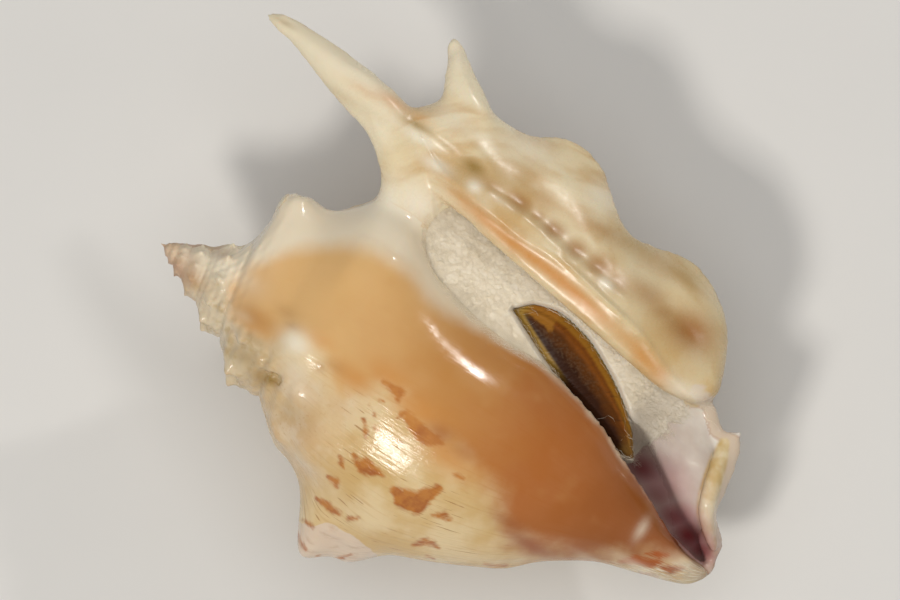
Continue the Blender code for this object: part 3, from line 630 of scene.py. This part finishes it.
x, y, z = points_of(shell).T
normal = normals_of(shell)
angle = round_axis(y, z)
off = np.abs(np.hypot(y, z) - outer_radius(x, angle) * (1 + spire_nodules(x, angle)))
bend_y, bend_z = curve_at(WALL_BEND, x)
on_coil = (off < np.where(x < 36, 3.0, 1.2)) & ((angle < WALL_LEAVES_BODY + 4) | (angle > edge_angle(x) - 3))
upward = ease(-0.1, 0.25, normal[:, 2])
to_hollow = normal[:, 1] * (18 * smooth_value(LEFT, x) / 36 - y) + normal[:, 2] * (-2 - z)
past_lip = y > smooth_value(LIP_INNER, x) - 0.8
on_lip = ~on_coil & (normal[:, 2] > -0.15) & (z > 3) & (((x < 131.5) & past_lip) | (x < 60))
on_edge = ~on_coil & (x > 122) & (inside_strokes(x, y, [[q[:2] + (0.3,) for q in FRONT_EDGE]]) > -1.5)
on_rim = inside_strokes(x, y, [[q[:2] + (q[3],) for q in ROLLED_RIM]]) * (~on_coil) - FAR * on_coil
in_hollow = ~on_coil & ~on_lip & ((to_hollow > 0) | ((x > 118) & (normal[:, 2] > -0.1))) & (x > 46)
around = np.radians((angle - 300) % 360) * 30
beyond_bend = np.radians(WALL_LEAVES_BODY + 60) * 30 + np.hypot(y - bend_y, z - bend_z)
around = np.where(~on_coil & (y > 30), beyond_bend, around)
front = on_coil & (z > -8)
paint(shell, "along", x)
paint(shell, "around", around)
porcelain = np.where(on_lip | in_hollow | (on_rim > -1), FAR, -FAR)
paint(shell, "glaze", np.where(front, np.clip(y - smooth_value(GLAZE_BORDER, x), -FAR, FAR), porcelain))
paint(shell, "front", ease(-12, -4, z) * ease(10, 20, x))
paint(shell, "digit", np.maximum(ease(38, 30, x), ease(62, 68, y) * (x < 58)) * on_lip)
paint(shell, "white_side", np.where(front, np.clip(y - smooth_value(WHITE_BORDER, x), -FAR, FAR), -FAR))
paint(shell, "knob", np.where(on_coil & (z > -20), smooth_value(KNOB_BORDER, x) - y, -FAR))
paint(shell, "rust", np.where(on_coil & (z > -16), inside_strokes(x, y, RUST_STROKES), -9))
paint(shell, "lip", on_lip)
middle = (smooth_value(LIP_INNER, x) + smooth_value(LIP_RIDGE, x)) / 2 + 0.4
band = hump(y, middle, 2.1) * smooth_value(ORANGE_BAND, x)
paint(shell, "band", band * upward * on_lip)
paint(shell, "hollow", in_hollow & ~on_edge)
paint(shell, "edge", on_edge)
paint(shell, "rim", np.where(x > 134, on_rim, -FAR))
paint(shell, "back", (1 - upward) * (~in_hollow))
# the mauve and maroon touches, kept to the hollow, also carry painted shade for the deep canal
for name, spots, mask in (("white", WHITE, upward), ("brown", BROWN, upward), ("orange", ORANGE, upward),
                          ("olive", OLIVE, upward), ("purple", PURPLE, upward),
                          ("pink", PINK, upward * on_coil), ("mauve_and_shade", MAUVE_AND_SHADE, in_hollow),
                          ("maroon_and_shade", MAROON_AND_SHADE, in_hollow)):
    paint(shell, name, touches(x, y, spots, mask))


def fill(node, sockets):
    """Fills a node's sockets with values or links."""
    for name, value in sockets.items():
        if isinstance(value, bpy.types.NodeSocket):
            tree.links.new(value, node.inputs[name])
        else:
            node.inputs[name].default_value = value


def add(kind, sockets, **settings):
    """Adds a node to the finish that is being made, whose node tree is `tree`."""
    made = tree.nodes.new(kind)
    for name, value in settings.items():
        setattr(made, name, value)
    fill(made, sockets)
    return made


def painted(name):
    """The painted value of that name."""
    return add("ShaderNodeAttribute", {}, attribute_name=name).outputs["Fac"]


def calc(operation, first, second=0.0):
    """One step of arithmetic."""
    return add("ShaderNodeMath", {0: first, 1: second}, operation=operation).outputs[0]


def times(first, second):
    """Two values multiplied."""
    return calc("MULTIPLY", first, second)


def plus(first, second):
    """Two values added."""
    return calc("ADD", first, second)


def fade(value, low, high, start=0.0, end=1.0):
    """A smooth change from start to end as the value goes from low to high."""
    sockets = {"Value": value, "From Min": low, "From Max": high, "To Min": start, "To Max": end}
    return add("ShaderNodeMapRange", sockets, interpolation_type="SMOOTHSTEP").outputs[0]


def over(under, colour, amount):
    """One colour laid over another."""
    under, colour = ((*each, 1) if isinstance(each, tuple) else each for each in (under, colour))
    return add("ShaderNodeMix", {0: amount, 6: under, 7: colour}, data_type="RGBA").outputs[2]


def mottle(vector, scale, detail=3.0, distortion=0.0):
    """Cloudy noise, from 0 to 1."""
    sockets = {"Vector": vector, "Scale": scale, "Detail": detail, "Distortion": distortion}
    return add("ShaderNodeTexNoise", sockets).outputs["Fac"]


def uneven(value, vector, scale, amount, detail=3.0):
    """A value made uneven by cloudy noise, by up to half the amount either way."""
    cloud = calc("SUBTRACT", mottle(vector, scale, detail), 0.5)
    return plus(value, times(cloud, amount))


def embossed(height, strength, distance):
    """Normals that follow the height."""
    return add("ShaderNodeBump", {"Height": height, "Strength": strength, "Distance": distance}).outputs[0]


def lay_down(piece, finish):
    """Gives a piece its finish, and takes it from the growth frame to where the shell lies."""
    piece.data.materials.append(finish)
    piece.data.transform(LAID_DOWN)


def new_finish(name):
    """Starts a material, with its Principled shader and its object coordinates in millimetres."""
    global tree
    finish = bpy.data.materials.new(name)
    finish.use_nodes = True
    tree = finish.node_tree
    where = add("ShaderNodeTexCoord", {}).outputs["Object"]
    where = add("ShaderNodeMapping", {"Vector": where, "Scale": (1000, 1000, 1000)}).outputs[0]
    return finish, tree.nodes["Principled BSDF"], where


shell_finish, shader, where = new_finish("grown shell")
along, around, glazed = painted("along"), painted("around"), painted("glaze")
back = painted("back")


def stretched(stretch):
    """Coordinates for marks that run along the growth lines, drawn out by the stretch."""
    return add("ShaderNodeCombineXYZ", {"X": times(along, 1 / stretch), "Y": around}).outputs[0]


clouds = mottle(where, 0.07, 4.0)
grain = mottle(where, 0.6, 5.0)
growth_lines = mottle(stretched(12), 1.1, 5.0)

# the bare outer layer: yellowish cream with faint bands and pinkish clouds
colour = over((0.74, 0.58, 0.34), (0.62, 0.42, 0.18), fade(clouds, 0.38, 0.68))
colour = over(colour, (0.50, 0.29, 0.10), fade(growth_lines, 0.52, 0.74, 0, 0.35))
blotches = fade(mottle(where, 0.32, 2.5), 0.48, 0.68, 0, 0.7)
spire_tint = over((0.68, 0.57, 0.40), (0.50, 0.37, 0.19), blotches)
apex_red = fade(uneven(along, where, 0.35, 14), 16, 4, 0, 0.8)
spire_tint = over(spire_tint, (0.45, 0.26, 0.19), apex_red)
colour = over(colour, spire_tint, fade(along, 44, 26))
pinkish = over((0.64, 0.43, 0.24), (0.71, 0.55, 0.38), fade(mottle(where, 0.2, 3.0), 0.40, 0.64))
pinkish = over(pinkish, (0.52, 0.27, 0.13), fade(mottle(where, 1.3, 2.0), 0.60, 0.72, 0, 0.55))
colour = over(colour, pinkish, painted("pink"))

# the worn pinkish white knob on the left, with a sharp border
knob_side = uneven(painted("knob"), where, 0.25, 1.6)
worn_through = fade(mottle(stretched(3), 0.8, 4.0), 0.5, 0.75, 0, 0.6)
worn_white = over((0.70, 0.57, 0.46), (0.52, 0.36, 0.26), worn_through)
colour = over(colour, worn_white, fade(knob_side, -0.1, 0.35, 0, 0.85))

# fine brown hair lines along the growth lines, in broken rows
hairs = fade(mottle(stretched(14), 1.9, 1.0), 0.655, 0.70)
hairs = times(hairs, fade(mottle(where, 0.13, 2.0), 0.44, 0.56, 0, 0.75))
hairs = times(hairs, fade(along, 52, 62))
colour = over(colour, (0.33, 0.145, 0.045), times(hairs, fade(glazed, -1, 2, 0.85, 0)))

# brown flames on the dull back, across the growth of the shell
slanted = plus(times(around, 0.10), times(along, 0.012))
slanted = add("ShaderNodeCombineXYZ", {"X": times(along, 0.035), "Y": slanted}).outputs[0]
flames = fade(mottle(slanted, 1.6, 5.0, 0.6), 0.53, 0.59, 0, 0.75)
colour = over(colour, (0.30, 0.12, 0.035), times(flames, back))

# the callus: tan behind, deepening to orange and red-brown towards the front end, thin at its border
callus = (0.69, 0.42, 0.17)
for deeper, scale, ragged, starts, full in (((0.50, 0.215, 0.05), 0.05, 30, 42, 84),
                                            ((0.40, 0.115, 0.018), 0.06, 20, 74, 104),
                                            ((0.27, 0.068, 0.012), 0.07, 14, 104, 132)):
    callus = over(callus, deeper, fade(uneven(along, where, scale, ragged), starts, full))
callus = over(callus, (0.74, 0.50, 0.29), fade(along, 31, 18, 0, 0.7))
callus = over(callus, (0.58, 0.31, 0.11), fade(mottle(where, 0.09, 2.0), 0.54, 0.76, 0, 0.3))
border = uneven(glazed, where, 0.13, 12.0, 5.0)
reach = fade(along, 70, 95, 4.0, 7.0)
colour = over(colour, callus, fade(calc("DIVIDE", border, reach), -0.9, 1.1, 0, 0.93))
shore = uneven(painted("white_side"), where, 0.12, 3.0)
shore_width = fade(along, 55, 90, -4.5, -1.6)
shore = calc("DIVIDE", shore, times(shore_width, -0.3))
colour = over(colour, (0.80, 0.70, 0.53), fade(shore, -3.3, 2.4, 0, 0.96))

# the worn front end: chalky white flakes over the cream
worn_end = times(fade(along, 112, 126), fade(glazed, 2.5, -0.5))
flakes = fade(mottle(stretched(2.5), 0.7, 4.0), 0.47, 0.56, 0, 0.85)
colour = over(colour, (0.80, 0.73, 0.58), times(flakes, worn_end))

# the rust marks, uneven in depth, with slightly ragged edges
marks = uneven(painted("rust"), stretched(2.2), 0.9, 2.2, 5.0)
rust = over((0.48, 0.175, 0.032), (0.36, 0.10, 0.02), fade(mottle(where, 0.35, 4.0), 0.4, 0.65))
rust = over(rust, (0.37, 0.085, 0.015), fade(along, 122, 130))
colour = over(colour, rust, fade(marks, -0.5, 0.75, 0, 0.92))

# the lip and digits: cream porcelain with tan streaks along them
streaks = mottle(stretched(5), 0.26, 2.5, 0.5)
tan = times(fade(streaks, 0.42, 0.66, 0, 0.85), fade(painted("digit"), 0, 1, 1, 0.15))
lip = over((0.75, 0.62, 0.39), (0.57, 0.365, 0.15), tan)
lip = over(lip, (0.75, 0.66, 0.46), fade(clouds, 0.5, 0.7, 0, 0.6))
lip = over(lip, (0.54, 0.395, 0.18), fade(uneven(along, where, 0.1, 30), 70, 120, 0, 0.4))
lip = over(lip, (0.84, 0.76, 0.57), fade(painted("digit"), 0.1, 1, 0, 0.7))
lip = over(lip, (0.60, 0.275, 0.07), uneven(painted("band"), where, 0.25, 0.35))
colour = over(colour, lip, painted("lip"))

# the hollow's lining: pinkish white, wine red in its depth; the mauve and maroon touches laid over it below
# are partly its own colour and partly painted shade in the deep canal
lining = over((0.76, 0.71, 0.63), (0.61, 0.53, 0.46), fade(clouds, 0.42, 0.7))
colour = over(colour, lining, painted("hollow"))
colour = over(colour, (0.62, 0.50, 0.38), painted("edge"))
rolled = over((0.56, 0.39, 0.16), (0.74, 0.64, 0.44), fade(mottle(where, 0.16, 3.0), 0.38, 0.72))
colour = over(colour, rolled, fade(painted("rim"), -0.6, 0.4))
# the touches; the mauve and maroon among them are partly painted shade in the deep canal
for name, touch in (("orange", (0.60, 0.27, 0.07)), ("brown", (0.36, 0.155, 0.035)),
                    ("olive", (0.32, 0.195, 0.05)), ("purple", (0.30, 0.085, 0.03)),
                    ("mauve_and_shade", (0.60, 0.34, 0.35)), ("maroon_and_shade", (0.22, 0.035, 0.04)),
                    ("white", (0.84, 0.76, 0.60))):
    colour = over(colour, touch, painted(name))

gloss = fade(painted("front"), 0, 1, 0.42, 0.15)
gloss = plus(gloss, times(painted("lip"), 0.12))
gloss = plus(gloss, times(back, 0.2))
gloss = plus(gloss, fade(grain, 0.3, 0.8, -0.02, 0.06))
dull = fade(glazed, -4, 2, 0.40, 0.05)
height = plus(times(growth_lines, 0.8), times(grain, 0.5))
height = times(height, dull)
height = plus(height, times(mottle(where, 0.16, 2.0), fade(glazed, -2, 8, 0.35, 0.12)))
height = plus(height, times(times(flakes, worn_end), 0.45))
fill(shader, {"Base Color": colour, "Roughness": gloss, "Specular IOR Level": 0.42,
              "Subsurface Weight": 0.12, "Subsurface Radius": (1.0, 0.5, 0.25), "Subsurface Scale": 0.002,
              "Normal": embossed(height, 0.7, 0.0006)})

lay_down(shell, shell_finish)
place = points_of(shell)
place[:, 2] = np.maximum(place[:, 2], 0)
move_points(shell, place)
shell.data.shade_smooth()
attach(shell, "root")
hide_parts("shell")
shell.select_set(False)

# The operculum: the claw-shaped horny plate that closed the aperture, set loose on the cotton wool.
# It is dark brown horn, thin and amber at its margins, with fine growth ridges and a saw edge.
OPERCULUM_OUTER = [(79.2, 29.6), (83, 32.9), (89, 34.3), (96.7, 32.9), (104.4, 29.3), (111.1, 25.1),
                   (117.7, 19.5), (121.2, 14.4)]
OPERCULUM_INNER = [(79.2, 29.2), (84.1, 26.7), (91.7, 23.0), (101, 19.0), (111.3, 15.6), (119.5, 12.8),
                   (121.2, 13.8)]
OPERCULUM_LEVEL = [(79, 12.6), (91, 11.8), (100, 10.4), (111, 7.8), (121.2, 4.6)]
OPERCULUM_REAR, OPERCULUM_FRONT = 79.2, 121.2
OPERCULUM_THICKNESS = 1.6


def operculum_sides(x):
    """The plate's left and right margins."""
    return smooth_value(OPERCULUM_INNER, x), smooth_value(OPERCULUM_OUTER, x)


def inside_operculum(x, y):
    """How far inside the plate's outline each place is, in millimetres."""
    low, high = operculum_sides(x)
    from_ends = np.minimum(x - OPERCULUM_REAR, OPERCULUM_FRONT - x)
    return np.minimum(np.minimum(y - low, high - y), from_ends)


def operculum_shape(along, turn):
    """The horny plate, slightly domed, with a saw edge on its outer side."""
    x = closer_at_ends(OPERCULUM_OUTER, along)
    low, high = operculum_sides(x)
    share, side = section(turn)
    saw = 0.28 * np.abs((x * 0.8) % 1 - 0.5) * 2 * ease(0.85, 1.0, share) * ease(84, 90, x)
    dome = 0.6 * np.sin(math.pi * share) * np.minimum(1.0, (high - low) / 8)
    level = smooth_value(OPERCULUM_LEVEL, x) + dome
    level += 0.25 * hump(share, 0.72, 0.05) - 0.2 * hump(share, 0.82, 0.06)
    half = OPERCULUM_THICKNESS / 2 * np.minimum(1.0, 0.25 + (high - low) / 6)
    return np.column_stack([x, low + (high - low) * share - saw, level + half * side])


operculum = rolled_sheet("horny_operculum", 200, 96, operculum_shape)
x, y, z = points_of(operculum).T
low, high = operculum_sides(x)
paint(operculum, "share", np.clip((y - low) / np.maximum(high - low, 0.3), 0, 1))
paint(operculum, "along", (x - OPERCULUM_REAR) / (OPERCULUM_FRONT - OPERCULUM_REAR))
paint(operculum, "from_left", y - low)
paint(operculum, "from_right", high - y)

horn_finish, shader, where = new_finish("operculum horn")
share, along = painted("share"), painted("along")
wavering = uneven(share, where, 0.28, 0.30)
rings = plus(times(along, 34.0), times(share, -7.0))
rings = add("ShaderNodeCombineXYZ", {"X": rings, "Y": times(share, 2.0)}).outputs[0]
ridges = mottle(rings, 1.5, 3.0)
colour = over((0.030, 0.009, 0.003), (0.095, 0.030, 0.005), fade(wavering, 0.30, 0.55))
colour = over(colour, (0.20, 0.062, 0.008), fade(wavering, 0.56, 0.74))
from_right = painted("from_right")
colour = over(colour, (0.26, 0.115, 0.012), fade(uneven(from_right, where, 0.4, 1.0), 2.6, 1.6))
colour = over(colour, (0.19, 0.13, 0.03), fade(from_right, 0.8, 0.1))
upper = uneven(along, where, 0.3, 0.10)
patch = times(fade(upper, 0.25, 0.22), fade(wavering, 0.46, 0.56))
colour = over(colour, (0.30, 0.125, 0.016), patch)
colour = over(colour, (0.33, 0.20, 0.035), fade(upper, 0.12, 0.03))
left_rim = times(fade(painted("from_left"), 2.2, 1.2), fade(along, 0.5, 0.3))
colour = over(colour, (0.28, 0.165, 0.028), left_rim)
colour = over(colour, (0.15, 0.075, 0.016), fade(upper, 0.86, 0.97, 0, 0.85))
colour = over(colour, (0.020, 0.008, 0.005), fade(ridges, 0.52, 0.8, 0, 0.45))
streak = calc("SUBTRACT", share, plus(times(along, 0.3), 0.34))
streak = fade(calc("ABSOLUTE", streak), 0.20, 0.08)
frost = times(fade(mottle(where, 1.5, 7.0), 0.40, 0.68), streak)
frost = times(frost, fade(along, 0.78, 0.5))
frost = times(frost, fade(along, 0.08, 0.2, 0, 0.3))
colour = over(colour, (0.15, 0.095, 0.055), frost)
fill(shader, {"Base Color": colour, "Roughness": fade(ridges, 0.3, 0.8, 0.30, 0.48),
              "Specular IOR Level": 0.12, "Normal": embossed(ridges, 0.6, 0.0004)})
lay_down(operculum, horn_finish)
operculum.data.shade_smooth()
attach(operculum, "root")
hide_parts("operculum")

# The cotton wool: a soft wad pressed into the aperture, from the columella to under the lip.
# It bulges a little between them, is pressed down under the operculum, and thins out over the
# porcelain at the front end.
COTTON_SPAN = (47.0, 127.0)
COTTON_THICK = 7.0


def wall_floor(x, y):
    """The height of the wall's inner face, at the right of the hollow."""
    level = np.empty(len(x))
    rounded = np.round(x * 2) / 2
    for at in np.unique(rounded):
        inside = inner_face(wall_path(min(at, 150.0), 60))[20:]
        rising = np.maximum.accumulate(inside[:, 0])
        here = rounded == at
        level[here] = np.interp(y[here], rising, inside[:, 1])
    return level


def aslant(x, y):
    """The place along the wad, measured aslant as its front border lies."""
    return x - 0.3 * (y - 20)


def cotton_level(x, y):
    """The height of the wad's face."""
    edge_y, edge_z = curve_at(CALLUS_EDGE, x)
    lip_y, lip_z = curve_at(LIP_INNER, x)
    share = (y - edge_y) / (lip_y - edge_y)
    below = -0.3 + 2.0 * ease(84, 100, x)
    bulge = 0.7 * np.sin(math.pi * np.clip(share, 0, 1))
    level = edge_z - below + (lip_z - 3.4 - edge_z + below) * share + bulge
    level -= 1.2 * (1 - ease(47, 56, x))
    under = smooth_value(OPERCULUM_LEVEL, x) - 0.6
    pressed = ease(-1.1, 0.2, inside_operculum(x, y))
    level = level * (1 - pressed) + np.minimum(level, under) * pressed
    thin = ease(113, 124, aslant(x, y))
    ragged = aslant(x, y) + 1.5 * np.sin(0.8 * y + 1.1 * np.sin(0.5 * y)) + 0.7 * np.sin(2.3 * y)
    return level * (1 - thin) + (wall_floor(x, y) + 0.4 - 0.9 * ease(119, 127, ragged)) * thin


def cotton_sides(x):
    """The wad's two sides: under the columella's edge, and under the lip."""
    low = smooth_value(CALLUS_EDGE, x) - 2.0 * ease(52, 60, x)
    high = smooth_value(LIP_INNER, x) + 2.5
    return low, high


def cotton_shape(along, turn):
    """The wad, closed underneath, inside the thickness of the wall."""
    x = COTTON_SPAN[0] + (COTTON_SPAN[1] - COTTON_SPAN[0]) * along
    share, side = section(turn)
    low, high = cotton_sides(x)
    y = low + (high - low) * share
    level = cotton_level(x, y)
    deep = np.maximum(level - COTTON_THICK * np.abs(side) ** 0.5, wall_floor(x, y) - 1.2)
    deep = np.minimum(deep, level - 0.25 * np.abs(side))
    return np.column_stack([x, y, np.where(side >= 0, level, deep)])


cotton = rolled_sheet("cotton_wad", 280, 170, cotton_shape)
place, normal = points_of(cotton), normals_of(cotton)
x, y, z = place.T
lumps = (0.34 * np.sin(x * 0.55 + 1.3 * np.sin(y * 0.5)) * np.sin(y * 0.6 + 0.35 * x)
         + 0.16 * np.sin(x * 1.3 + y * 0.9) * np.sin(y * 1.6 - 0.7 * x)
         + 0.05 * np.sin(x * 3.1 + y * 2.3) * np.sin(y * 3.9 - 1.4 * x))
place[:, 2] += 0.22 * lumps * (normal[:, 2] > 0) * (1 - 0.8 * ease(112, 122, x))
move_points(cotton, place)
paint(cotton, "thinning", ease(110, 121, aslant(x, y)))

cotton_finish, shader, where = new_finish("cotton wool")
colour = over((0.82, 0.75, 0.62), (0.765, 0.685, 0.545), fade(mottle(where, 0.12, 3.0), 0.40, 0.70))
colour = over(colour, (0.80, 0.72, 0.57), fade(mottle(where, 3.4, 3.0), 0.45, 0.75, 0, 0.3))
colour = over(colour, (0.30, 0.23, 0.18), fade(mottle(where, 2.4, 1.0), 0.77, 0.82, 0, 0.5))
colour = over(colour, (0.74, 0.68, 0.58), fade(painted("thinning"), 0, 1, 0, 0.9))
felt = plus(mottle(where, 2.8, 3.0), times(mottle(where, 0.4, 2.0), 0.5))
fill(shader, {"Base Color": colour, "Roughness": 0.95, "Sheen Weight": 0.2, "Sheen Roughness": 0.6,
              "Subsurface Weight": 0.3, "Subsurface Radius": (1.0, 0.9, 0.7), "Subsurface Scale": 0.002,
              "Specular IOR Level": 0.2, "Normal": embossed(felt, 0.15, 0.0002)})
lay_down(cotton, cotton_finish)
cotton.data.shade_smooth()
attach(cotton, "root")
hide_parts("cotton_plug")

# The loose fibres of the cotton wool: fine cotton hairs teased out of the wad, most of them at its
# borders. Each wanders over the wad from its start, rising a little off it, as a three-sided thread.
# Of all of them, some start at the front border, at the rear end, and along the callus.
FIBRES = 6200
FRONT_FIBRES = 1100
REAR_FIBRES = 600
CALLUS_FIBRES = 1200
FIBRE_STEPS = 5
CLIMB = 1.8
RESTS_ABOVE = 0.12
rear = slice(FRONT_FIBRES, FRONT_FIBRES + REAR_FIBRES)
by_callus = slice(rear.stop, rear.stop + CALLUS_FIBRES)

chance = np.random.default_rng(7)
start_x = chance.uniform(49, 126, FIBRES)
start_x[:FRONT_FIBRES] = chance.uniform(113, 129, FRONT_FIBRES)
low, high = cotton_sides(start_x)
start_y = low + (high - low) * chance.uniform(0.03, 0.97, FIBRES)
start_x[rear], start_y[rear] = chance.uniform(45.0, 49.0, REAR_FIBRES), chance.uniform(27, 47, REAR_FIBRES)
start_x[by_callus] = chance.uniform(50, 106, CALLUS_FIBRES)
callus_edge = smooth_value(CALLUS_EDGE, start_x[by_callus])
start_y[by_callus] = callus_edge + chance.uniform(-1.2, 1.2, CALLUS_FIBRES)
heading = chance.uniform(-math.pi, math.pi, FIBRES)
step = chance.uniform(0.5, 1.7, FIBRES)
lift = chance.uniform(0.03, 0.28, FIBRES)
paths = np.zeros((FIBRES, FIBRE_STEPS + 1, 3))
x, y = start_x.copy(), start_y.copy()
for i in range(FIBRE_STEPS + 1):
    paths[:, i, 0], paths[:, i, 1] = x, y
    paths[:, i, 2] = cotton_level(x, y) + 0.08 + lift * math.sin(math.pi * (0.15 + 0.7 * i / FIBRE_STEPS))
    heading += chance.normal(0, 0.55, FIBRES)
    x, y = x + step * np.cos(heading), y + step * np.sin(heading)
# those at the wad's border climb onto the porcelain beside it
bpy.context.view_layer.update()
down, growth_frame = LAID_DOWN.to_3x3() @ Vector((0, 0, -1)), LAID_DOWN.inverted()
for path in paths[rear.start:by_callus.stop]:
    for point in path:
        above = LAID_DOWN @ (Vector((point[0], point[1], point[2] + CLIMB)) * MM)
        hit, landed = shell.ray_cast(above, down, distance=CLIMB * MM)[:2]
        if hit:
            point[2] = (growth_frame @ landed)[2] / MM + RESTS_ABOVE
# those over the operculum are left out, but for a few that lie across its face
over_plate = inside_operculum(paths[:, :, 0], paths[:, :, 1])
clear = (over_plate.max(axis=1) < 1.0) | (chance.uniform(0, 1, FIBRES) < 0.004)
plate_top = smooth_value(OPERCULUM_LEVEL, paths[:, :, 0]) + 1.5
paths[:, :, 2] = np.where(over_plate > -0.4, np.maximum(paths[:, :, 2], plate_top), paths[:, :, 2])
paths = paths[clear]
thread = chance.uniform(0.016, 0.030, len(paths))
corners = np.radians([90, 210, 330])
ring = np.stack([0 * corners, np.cos(corners), np.sin(corners)], axis=-1)
points = paths[:, :, None, :] + ring[None, None] * thread[:, None, None, None]
points[:, 0], points[:, -1] = paths[:, :1], paths[:, -1:]
numbers = np.arange(points.size // 3).reshape(points.shape[:3])
near, far = numbers[:, :-1], numbers[:, 1:]
faces = np.stack([near, np.roll(near, -1, 2), np.roll(far, -1, 2), far], -1)
threads = bpy.data.meshes.new("cotton_fibres")
threads.from_pydata((points.reshape(-1, 3) * MM).tolist(), [], faces.reshape(-1, 4).tolist())
fuzz = bpy.data.objects.new("cotton_fibres", threads)
bpy.context.scene.collection.objects.link(fuzz)
bpy.context.view_layer.objects.active = fuzz
fuzz.select_set(True)
bpy.ops.object.mode_set(mode="EDIT")
bpy.ops.mesh.select_all(action="SELECT")
bpy.ops.mesh.remove_doubles(threshold=1e-6)
bpy.ops.mesh.normals_make_consistent(inside=False)
bpy.ops.object.mode_set(mode="OBJECT")
fuzz.select_set(False)
fibre_finish, shader, where = new_finish("cotton fibre")
colour = over((0.92, 0.86, 0.74), (0.84, 0.77, 0.64), mottle(where, 2.0, 2.0))
fill(shader, {"Base Color": colour, "Roughness": 0.8})
lay_down(fuzz, fibre_finish)
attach(fuzz, "root")

# The stage: a pale floor, two soft lamps low on either side and a broad soft one overhead.
bpy.ops.mesh.primitive_grid_add(x_subdivisions=4, y_subdivisions=4, size=6)
floor = bpy.context.object
floor.name = "floor"
floor.select_set(False)
floor_finish, shader, where = new_finish("pale floor")
colour = over((0.72, 0.71, 0.69), (0.68, 0.67, 0.65), mottle(where, 0.02, 4.0))
fill(shader, {"Base Color": colour, "Roughness": 0.8})
floor.data.materials.append(floor_finish)
LAMP_AIM = Vector((0.0, 0.0, 0.05))


def lamp(name, turn, height, far, size, power, colour):
    """A soft square lamp that points at the shell, placed by its turn and height in degrees."""
    turn, height = math.radians(turn), math.radians(height)
    toward = Vector((math.cos(turn) * math.cos(height), math.sin(turn) * math.cos(height), math.sin(height)))
    bpy.ops.object.light_add(type="AREA", location=LAMP_AIM + toward * far)
    made = bpy.context.object
    made.name = name
    made.data.size = size
    made.data.energy = power
    made.data.color = colour
    made.rotation_euler = toward.to_track_quat("Z", "Y").to_euler()
    made.select_set(False)


lamp("left lamp", turn=-90, height=55, far=1.1, size=0.17, power=5.6, colour=(1.0, 0.96, 0.90))
lamp("right lamp", turn=80, height=34, far=1.1, size=0.08, power=2.2, colour=(1.0, 0.97, 0.93))
lamp("overhead", turn=60, height=84, far=1.8, size=1.6, power=13, colour=(1.0, 0.99, 0.97))
bpy.context.object.visible_glossy = False
world = bpy.data.worlds.new("studio")
bpy.context.scene.world = world
world.use_nodes = True
sky = world.node_tree.nodes["Background"]
sky.inputs["Color"].default_value = (1, 1, 1, 1)
sky.inputs["Strength"].default_value = 0.20
bpy.context.scene.view_settings.view_transform = "Standard"

# The camera looks straight into the aperture from far off, with the apex at the left of the picture.
PICTURE_TURN = math.radians(31)
PICTURE_WIDTH, PICTURE_HEIGHT = 900, 600
APEX_ACROSS, APEX_DOWN = 160, 243
PIXEL = 0.235
CAMERA_FAR = 2.5
SENSOR = 36
right = Vector((math.cos(PICTURE_TURN), math.sin(PICTURE_TURN), 0))
up = Vector((-math.sin(PICTURE_TURN), math.cos(PICTURE_TURN), 0))
middle = (right * (PICTURE_WIDTH / 2 - APEX_ACROSS) + up * (APEX_DOWN - PICTURE_HEIGHT / 2)) * PIXEL * MM
bpy.ops.object.camera_add()
camera = bpy.context.object
camera.name = "camera"
camera.data.sensor_width = SENSOR
camera.data.lens = SENSOR * CAMERA_FAR / (PICTURE_WIDTH * PIXEL * MM)
camera.data.clip_end = 20
stand = Matrix((right, up, Vector((0, 0, 1)))).transposed().to_4x4()
stand.translation = middle + Vector((0, 0, CAMERA_FAR))
camera.matrix_world = LAID_DOWN @ stand
bpy.context.scene.camera = camera
